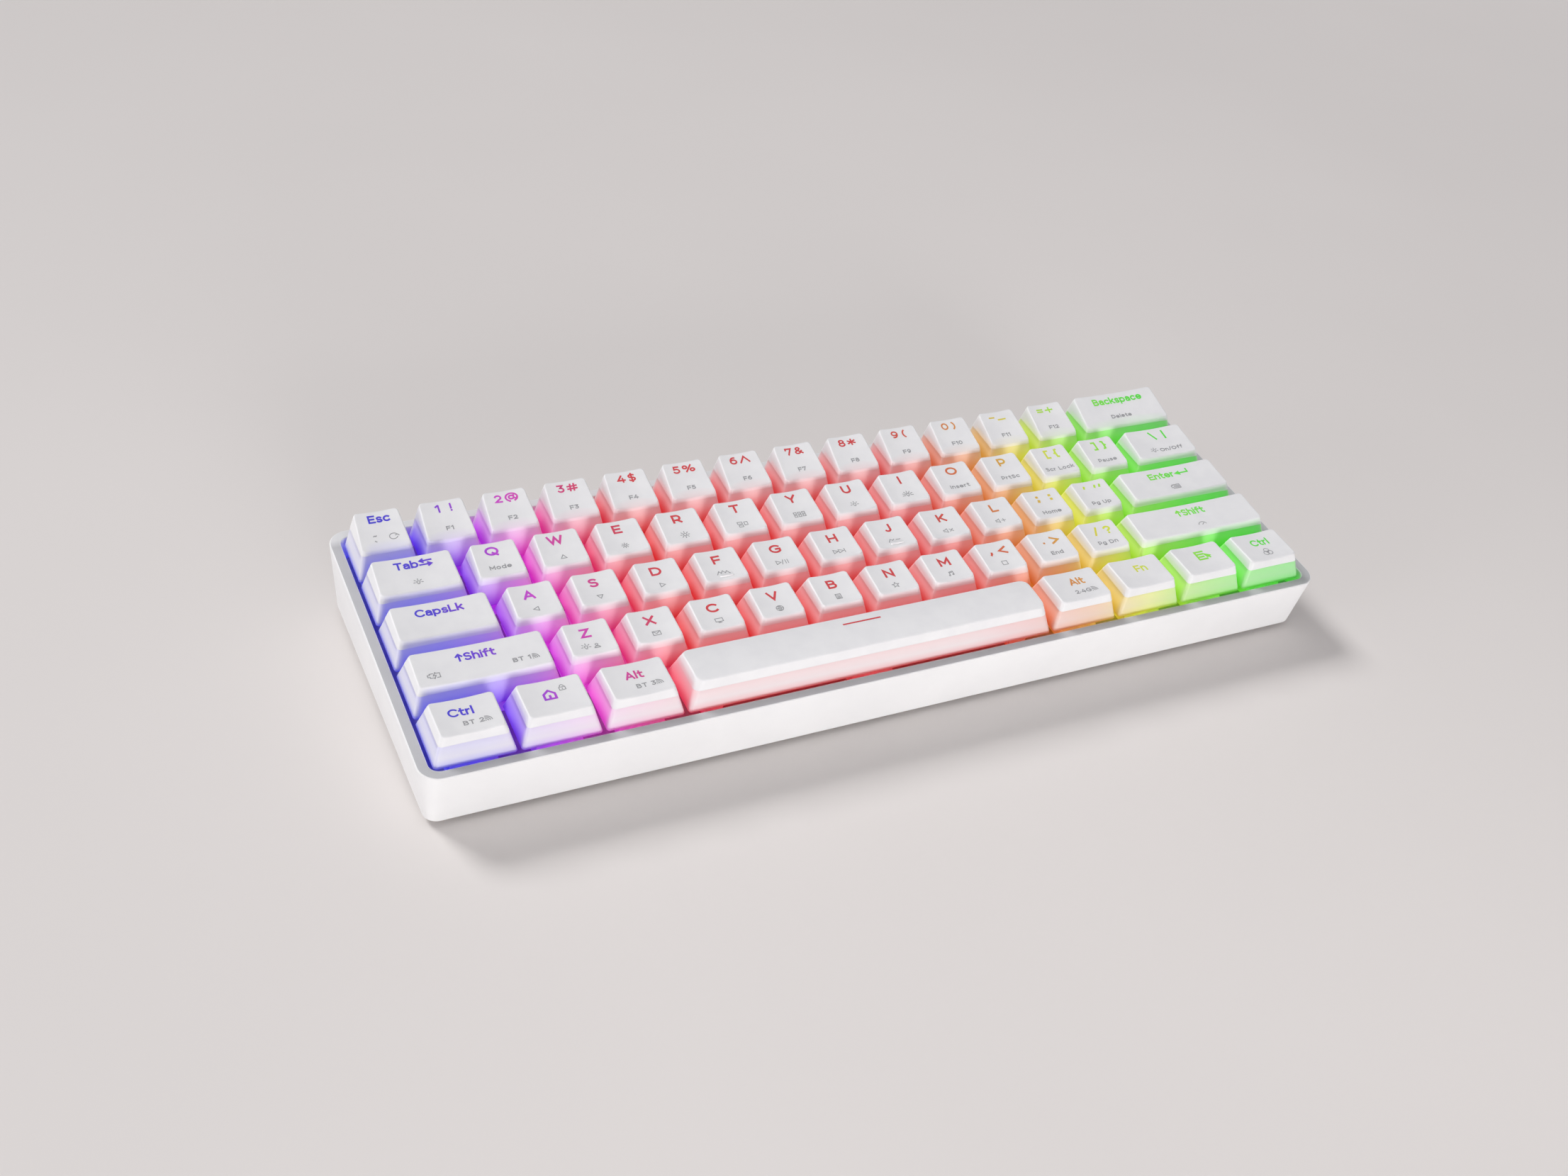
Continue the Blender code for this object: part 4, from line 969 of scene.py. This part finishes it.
for line in SIGN_LINES.strip().split("\n"):
    sign, sign_width, drawn = line.split(" ", 2)
    SIGNS[sign] = (float(sign_width), strokes_of(*drawn.split(" | ")))
SIGNS["*"] = (0.78, rays(0.39, 0.5, 6, 0.0, 0.44, 30))
SIGNS[")"] = (0.44, mirrored(strokes_of(".46,.45,.42,.66,122,238"), 0.44))
SIGNS["}"] = (0.30, mirrored(SIGNS["{"][1], 0.32))
BULB = strokes_of("0,.56,.25,.25,-62,242", "-.11,.16 .11,.16")
SIGNS["bulb_dim"] = (1.5, moved(BULB + rays(0, 0.56, 5, 0.50, 0.70, -8, 196), 0.75, -0.02))
SIGNS["bulb"] = (2.0, moved(BULB + rays(0, 0.46, 7, 0.50, 0.96, -8, 196), 1.0, 0.02))
SIGNS["sun_dim"] = (1.2, strokes_of(".6,.5,.2") + rays(0.6, 0.5, 8, 0.38, 0.56))
SIGNS["sun"] = (1.5, strokes_of(".75,.5,.27") + rays(0.75, 0.5, 8, 0.48, 0.74))
SIGNS["battery"] = (1.9, strokes_of("1,.05 .4,.05 .4,.28 .08,.28 .08,.72 .4,.72 .4,.95 .9,.95",
                                    "1.3,.95 1.85,.95 1.85,.05 1.4,.05",
                                    "1.26,1.15 .9,.48 1.3,.52 .98,-.15"))
SIGNS["menu"] = (1.28, strokes_of(".84,1.02 0,1.02 0,-.02 .84,-.02", "0,.68 .72,.68", "0,.33 .62,.33",
                                  ".86,.62 1.26,.34 .98,.22 z", "1,.42 1.2,.12"))
SIGNS["grid"] = (2.0, [points_of((x, y, 0.46, 0.44)) for x in (0, 0.74, 1.48) for y in (-0.1, 0.56)])
STAR = round_points(0.6, 0.48, (0.62, 0.27) * 5, 90, -36)
SIGNS["star"] = (1.2, [STAR + STAR[:1]])
SIGNS["waves"] = (1.1, strokes_of(".12,.06") + [arc(0.08, 0.02, r, r, 4, 86) for r in (0.38, 0.66, 0.94)])
SIGNS["charge"] = (1.8, strokes_of(".3,0 1.8,0 1.8,1 .3,1 .3,.74 .02,.74 .02,.26 .3,.26 z")
                   + [[(x, 0.24), (x, 0.76)] for x in (0.62, 0.86, 1.1, 1.34, 1.56)])
SIGNS["clover"] = (2.0, [points_of((x, y, 0.48)) for x, y in round_points(1.0, 0.46, (0.44,) * 3, 90, 120)]
                   + strokes_of("1,.46,.14"))


def set_text(text, cap_height, weight, space, stretch):
    """The strokes of a line of glyphs and {signs}, centred on the origin."""
    height = cap_height - weight
    strokes, tokens = [], []
    pen, gap = 0.0, space * cap_height / height
    while text:
        end = text.find("}")
        if text[0] == "{" and text[1:end] in SIGNS:
            tokens.append(SIGNS[text[1:end]])
            text = text[end + 1:]
        else:
            tokens.append(SIGNS[text[0]])
            text = text[1:]
    for width, glyph in tokens:
        strokes += [[(x * stretch + pen, y) for x, y in stroke] for stroke in glyph]
        pen += width * stretch + gap
    middle = (pen - gap) / 2
    return [[((x - middle) * height, (y - 0.5) * height) for x, y in stroke] for stroke in strokes]


def densify(points, step):
    """Adds points so that none are further apart than step."""
    dense = [points[0]]
    for (ax, ay), (bx, by) in zip(points, points[1:]):
        pieces = max(1, math.ceil(math.dist((ax, ay), (bx, by)) / step))
        dense += [(ax + (bx - ax) * i / pieces, ay + (by - ay) * i / pieces) for i in range(1, pieces + 1)]
    return dense


def clean(points):
    """Leaves out points that fall on the one before."""
    kept = [points[0]]
    for point in points[1:]:
        if math.dist(point, kept[-1]) > SAME_PLACE:
            kept.append(point)
    return kept


def draw_stroke(bm, points, weight, level):
    """A flat ribbon along the points, at the levels of level(x, y), with square ends and mitred corners."""
    points = clean(points)
    closed = math.dist(points[0], points[-1]) < SAME_PLACE and len(points) > 3
    if not closed:
        for end, neighbour in ((0, 1), (-1, -2)):
            tip, before = Vector(points[end]), Vector(points[neighbour])
            points[end] = tuple(tip + (tip - before).normalized() * weight / 2)
    points = [Vector(p) for p in clean(densify(points, STROKE_STEP))]
    if closed:
        points = points[:-1]
    pairs = []
    for i, point in enumerate(points):
        before = points[i - 1] if i or closed else None
        after = points[(i + 1) % len(points)] if i + 1 < len(points) or closed else None
        ahead = (after - point).normalized() if after is not None else (point - before).normalized()
        behind = (point - before).normalized() if before is not None else ahead
        square = Vector((-ahead.y, ahead.x))
        normal = Vector((-(ahead.y + behind.y), ahead.x + behind.x))
        normal = normal.normalized() if normal.length > TURNED_BACK else square
        reach = min(1 / max(abs(normal.dot(square)), MITRE_DOT), MITRE_LIMIT) * weight / 2
        sides = [point + normal * reach, point - normal * reach]
        pairs.append([bm.verts.new((side.x, side.y, level(side.x, side.y))) for side in sides])
    following = pairs[1:] + pairs[:1] if closed else pairs[1:]
    for (left, right), (next_left, next_right) in zip(pairs, following):
        bm.faces.new([right, next_right, next_left, left])


def build_legend(name, row, x, y, cap):
    """All lettering of one key: the lit legend (material 0) and the grey ones (material 1)."""
    bm = bmesh.new()
    index = 0
    for style, text, *place in LEGENDS[name]:
        size, weight, space, stretch, material = STYLES[style]
        if place:
            dx, dy = place[0] * MM, place[1] * MM
        else:
            start, gain, up = PLACES[style][row]
            dx, dy = start * MM + gain * x, up * MM
        drawn_from = len(bm.faces)
        for stroke in set_text(text, size, weight, space, stretch):
            index += 1
            lift = LEGEND_LIFT + index * STROKE_LIFT
            placed = [(px + dx, py * cap.text_rise + dy + cap.middle) for px, py in stroke]
            draw_stroke(bm, placed, weight, lambda px, py, lift=lift: cap.top(px, py) + lift)
        bm.faces.ensure_lookup_table()
        for face in bm.faces[drawn_from:]:
            face.material_index = material
    finish_legend(name, bm, x, y)


def build_space_line(name, x, y, cap):
    bm = bmesh.new()
    length, width, middle, up = SPACE_LINE
    ends = [(middle - length / 2, up), (middle + length / 2, up)]
    draw_stroke(bm, ends, width, lambda px, py: cap.top(px, py) + LEGEND_LIFT)
    finish_legend(name, bm, x, y)


def finish_legend(name, bm, x, y):
    place = DECK @ Matrix.Translation((x, y, KEY_BASE))
    piece = add_piece("legend_" + name, bm, [LIT, GREY], place)
    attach(piece, node_of(name))


# ---- case


def underside(y):
    """The underside's level in the deck frame, at this y."""
    front, rear = -GRID_DEPTH / 2 - MARGIN_Y + FRONT_TAPER, GRID_DEPTH / 2 + MARGIN_Y - REAR_TAPER
    return FRONT_BOTTOM + (REAR_BOTTOM - FRONT_BOTTOM) * (y - front) / (rear - front)


def case_rings():
    """The tray's rings from its underside up the outside and, apart, from the rim down to its floor."""
    half_x, half_y = GRID_WIDTH / 2 + MARGIN_X, GRID_DEPTH / 2 + MARGIN_Y
    open_x, open_y = GRID_WIDTH / 2 + OPENING_X, GRID_DEPTH / 2 + OPENING_Y

    def ring(box, radius, inset, level):
        x0, x1, y0, y1 = box
        inner = (x0 + inset, x1 - inset, y0 + inset, y1 - inset)
        points = rounded_ring(inner, max(radius - inset, 0.2 * MM), CASE_COUNTS, CASE_CORNER_STEPS)
        return [(x, y, level(y)) for x, y in points]

    foot_box = (-half_x + SIDE_TAPER, half_x - SIDE_TAPER, -half_y + FRONT_TAPER, half_y - REAR_TAPER)
    rim_box = (-half_x, half_x, -half_y, half_y)
    open_box = (-open_x, open_x, -open_y, open_y)
    floor_box = (-open_x, open_x, -open_y + CAVITY_TAPER, open_y)
    quarter = [math.radians(15 * i) for i in range(7)]
    outside, inside = [], []
    for turn in quarter:
        inset, rise = FOOT_ROUND * (1 - math.sin(turn)), FOOT_ROUND * (1 - math.cos(turn))
        outside.append(ring(foot_box, FOOT_CORNER, inset, lambda y, rise=rise: underside(y) + rise))
    for turn in quarter:
        inset, drop = LIP_ROUND * (1 - math.cos(turn)), LIP_ROUND * (1 - math.sin(turn))
        outside.append(ring(rim_box, CASE_CORNER, inset, lambda y, drop=drop: RIM_LEVEL - drop))
    inner_level = RIM_LEVEL - LIP_FALL
    for turn in reversed(quarter):
        inset, drop = LIP_ROUND * (math.cos(turn) - 1), LIP_ROUND * (1 - math.sin(turn))
        inside.append(ring(open_box, OPENING_CORNER, inset, lambda y, drop=drop: inner_level - drop))
    inside.append(ring(open_box, OPENING_CORNER, 0.0, lambda y: -PLATE_THICK))
    inside.append(ring(floor_box, OPENING_CORNER, 0.0, lambda y: underside(y) + FLOOR_THICK))
    return outside, inside


def cutter(name, box, radius, place, axis="Z"):
    """A rounded block that a Boolean takes out of the tray."""
    bm = skin([ring_at(box[:4], radius, (1, 1), level, ROUND_STEPS) for level in box[4:]])
    if axis == "Y":
        place = place @ FACING_BACK
    return add_piece(name, bm, [], place)


def cut(piece, tools):
    """Takes the tools out of the piece for good, and removes them."""
    for tool in tools:
        modifier = piece.modifiers.new(tool.name, "BOOLEAN")
        modifier.operation = "DIFFERENCE"
        modifier.object = tool
    graph = bpy.context.evaluated_depsgraph_get()
    mesh = bpy.data.meshes.new_from_object(piece.evaluated_get(graph))
    piece.modifiers.clear()
    piece.data = mesh
    mesh.set_sharp_from_angle(angle=math.radians(CASE_SMOOTH))
    for tool in tools:
        bpy.data.objects.remove(tool)


def deck_middle(node):
    """The middle of a CAD node's box, in the deck frame."""
    low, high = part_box(node)
    return DECK.inverted() @ ((low + high) / 2)


def build_case():
    bm = bmesh.new()
    outside, inside = case_rings()
    outer = [new_ring(bm, points) for points in outside]
    inner = [new_ring(bm, points) for points in inside]
    bm.faces.new(list(reversed(outer[0])))
    for low, high in zip(outer, outer[1:]):
        bridge_loops(bm, low, high)
    # The rim's face and inner lip take material 2, the case plastic with painted shade
    bridge_loops(bm, outer[-1], inner[0], 2)
    for index, (low, high) in enumerate(zip(inner, inner[1:])):
        bridge_loops(bm, low, high, 1 if index > 0 else 2)
    bm.faces.new(inner[-1])
    bmesh.ops.recalc_face_normals(bm, faces=bm.faces)
    tray = add_piece("case_shell", bm, [CASE, INNER_WALL, RIM_SHADE], smooth_angle=CASE_SMOOTH)

    tools = []
    for pad in PADS:
        (x0, y0, _), (x1, y1, top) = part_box(pad)
        box = (x0 - PAD_GAP, x1 + PAD_GAP, y0 - PAD_GAP, y1 + PAD_GAP, 0.0, top + PAD_GAP)
        tools.append(cutter("pocket_" + pad, box, PAD_CORNER + PAD_GAP, Matrix.Identity(4)))
    wall = GRID_DEPTH / 2 + MARGIN_Y
    for node, (width, height, radius), shift in (("usb_c_port", PORT_SLOT, 0.0),
                                                 ("power_switch_knob", KNOB_SLOT, KNOB_SHIFT)):
        middle = deck_middle(node)
        place = DECK @ Matrix.Translation((middle.x + shift, wall, middle.z))
        box = (-width / 2, width / 2, -height / 2, height / 2, -SLOT_DEPTH, SLOT_DEPTH)
        tools.append(cutter("slot_" + node, box, radius, place, axis="Y"))
    cut(tray, tools)
    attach(tray, "case")
    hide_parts("case_tray")


# ---- pads and rear interfaces


def build_pad(node):
    """A rubber pad with a softened lower edge."""
    (x0, y0, low), (x1, y1, high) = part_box(node)
    rings = []
    edge = [(PAD_SOFT * inset, low + PAD_SOFT * rise) for inset, rise in PAD_EDGE]
    for inset, level in edge + [(0.0, high)]:
        box = (x0 + inset, x1 - inset, y0 + inset, y1 - inset)
        rings.append(ring_at(box, PAD_CORNER - inset, PAD_COUNTS, level, ROUND_STEPS))
    piece = add_piece("rubber_" + node, skin(rings), [RUBBER], Matrix.Identity(4))
    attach(piece, "case")
    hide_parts(node)


def build_port():
    """The USB-C receptacle: a folded steel shell round a tongue with its contacts."""
    place = DECK @ Matrix.Translation(deck_middle("usb_c_port")) @ FACING_BACK
    width, depth, height = PORT_SIZE
    rings = []
    for inset, level in ((0.0, -depth / 2), (0.0, depth / 2 - PORT_EDGE), (PORT_EDGE, depth / 2),
                         (PORT_WALL, depth / 2), (PORT_WALL, -depth / 2 + PORT_WALL)):
        box = (-width / 2 + inset, width / 2 - inset, -height / 2 + inset, height / 2 - inset)
        rings.append(ring_at(box, height / 2 - inset, (4, 1), level, ROUND_STEPS))
    shell = add_piece("port_shell", skin(rings), [STEEL], place)
    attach(shell, "case")
    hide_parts("usb_c_port")

    width, thick, shorter = TONGUE_SIZE
    length = depth - shorter
    tongue = block((width, thick, length), TONGUE_SOFT, 2, 0.0)
    size = (*CONTACT_SIZE, length * CONTACT_SHARE, 1)
    off, forward = CONTACT_PLACE
    for side in (-1, 1):
        for index in range(CONTACT_COUNT):
            middle = ((index - (CONTACT_COUNT - 1) / 2) * CONTACT_PITCH, side * off, forward)
            matrix = Matrix.Translation(middle) @ Matrix.Diagonal(size)
            made = bmesh.ops.create_cube(tongue, size=1, matrix=matrix)["verts"]
            for face in {f for v in made for f in v.link_faces}:
                face.material_index = 1
    piece = add_piece("port_tongue", tongue, [TONGUE, CONTACTS], place)
    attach(piece, "case")


def build_knob():
    """The power switch's knob, with ribs for a fingernail."""
    width, depth, height = KNOB_SIZE
    bm = block((width, depth - RIB_PROUD, height), KNOB_SOFT, place=(0, -RIB_PROUD / 2, 0))
    for index in range(RIB_COUNT):
        place = ((index - (RIB_COUNT - 1) / 2) * RIB_PITCH, depth / 2 - RIB_SINK, 0)
        join(bm, block((*RIB_SIZE, height * RIB_SHARE), RIB_SOFT, 2, 0.0, place))
    place = DECK @ Matrix.Translation(deck_middle("power_switch_knob"))
    piece = add_piece("power_knob", bm, [KNOB], place)
    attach(piece, "power_switch_knob")
    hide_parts("power_switch_knob")


# ---- stage


def build_floor():
    """A wide plane under the pads."""
    bm = bmesh.new()
    bmesh.ops.create_grid(bm, x_segments=8, y_segments=8, size=FLOOR_HALF)
    add_piece("floor", bm, [FLOOR], Matrix.Identity(4))


def add_light(name, place, size, spread, power, colour):
    """A soft box aimed at the origin."""
    light = bpy.data.lights.new(name, "AREA")
    light.shape = "RECTANGLE"
    light.size, light.size_y = size
    light.energy = power
    light.color = colour
    light.spread = math.radians(spread)
    lamp = bpy.data.objects.new(name, light)
    bpy.context.scene.collection.objects.link(lamp)
    lamp.location = place
    lamp.rotation_euler = (-Vector(place)).to_track_quat("-Z", "Y").to_euler()


def light_stage():
    world = bpy.data.worlds.new("studio")
    world.use_nodes = True
    background = world.node_tree.nodes["Background"]
    background.inputs["Color"].default_value = SKY_COLOUR
    background.inputs["Strength"].default_value = SKY_STRENGTH
    bpy.context.scene.world = world
    for softbox in SOFTBOXES:
        add_light(*softbox)
    sun = bpy.data.lights.new("back_left_light", "SUN")
    sun.energy = SUN_POWER
    sun.angle = math.radians(SUN_ANGLE)
    lamp = bpy.data.objects.new("back_left_light", sun)
    bpy.context.scene.collection.objects.link(lamp)
    lamp.rotation_euler = Vector(SUN_WAY).to_track_quat("-Z", "Y").to_euler()
    bpy.context.scene.view_settings.view_transform = "Standard"


def place_camera():
    camera = bpy.data.cameras.new("camera")
    camera.sensor_width = CAMERA_SENSOR
    camera.lens = CAMERA_LENS
    camera.shift_x, camera.shift_y = CAMERA_SHIFT
    camera.clip_start, camera.clip_end = 0.01, 20.0
    view = bpy.data.objects.new("camera", camera)
    bpy.context.scene.collection.objects.link(view)
    back = -CAMERA_VIEW.normalized()
    right = (CAMERA_RIGHT - CAMERA_RIGHT.project(back)).normalized()
    turn = Matrix((right, back.cross(right), back)).transposed().to_4x4()
    view.matrix_world = DECK @ Matrix.Translation(CAMERA_PLACE) @ turn
    bpy.context.scene.camera = view


# ---- assembly

SHELLS = {row: shell_material(row, shape.shell * MM) for row, shape in ROW_SHAPES.items()}
SKIRT = skirt_material()
LIT = lit_legend_material()
GREY = Shader("legend_grey", 0.5).surface(((0.60, 0.60, 0.61), (0.65, 0.65, 0.66), 900), specular=0.25)
# Fine spark-eroded grain, with a faint drift in tone and gloss
CASE = Shader("case_plastic", 0.45).surface(((0.898, 0.896, 0.900), (0.914, 0.912, 0.915), 38),
                                            (420, 0.40, 0.50), (3600, 4.0, 0.035, 0.4), 0.4)
INNER_WALL = lit_wall_material()
RIM_SHADE = rim_shade_material()
STEEL = steel_material()
# Matte black with a fine pebble grain and a little dust
RUBBER = Shader("pad_rubber", 0.85).surface(((0.13, 0.13, 0.14), (0.19, 0.19, 0.20), 300, 6.0),
                                            (500, 0.75, 0.92), (2400, 3.0, 0.08, 0.7))
KNOB = knob_material()
TONGUE = Shader("port_tongue_plastic", 0.5).surface(((0.10, 0.10, 0.11), (0.14, 0.14, 0.15), 900))
CONTACTS = Shader("port_contacts", 0.25, 1.0).surface(((0.86, 0.70, 0.38), (0.92, 0.78, 0.46), 1500))
# Shrink wrap round the cell, with its creases
BATTERY = Shader("battery_shrink_wrap", 0.35).surface(((0.30, 0.32, 0.36), (0.36, 0.38, 0.42), 60),
                                                      grain=(240, 5.0, 0.2, 0.4))
# A plain pale studio floor with a hardly visible unevenness
FLOOR = Shader("studio_floor", 0.7).surface(((0.87, 0.85, 0.84), (0.88, 0.86, 0.85), 3.0))

for key_name, key_row, key_units, key_x, key_y in key_places():
    keycap = build_keycap(key_name, key_row, key_units, key_x, key_y)
    if key_name == "space":
        build_space_line(key_name, key_x, key_y, keycap)
    else:
        build_legend(key_name, key_row, key_x, key_y, keycap)
build_case()
for pad_node in PADS:
    build_pad(pad_node)
build_port()
build_knob()
for cad_node, cad_material in (("switch_plate", plate_material()), ("switch_bank", switch_material()),
                               ("circuit_board", board_material()), ("battery_pack", BATTERY)):
    node_mesh = frame["nodes"][cad_node].data
    node_mesh.materials.clear()
    node_mesh.materials.append(cad_material)

build_floor()
light_stage()
place_camera()
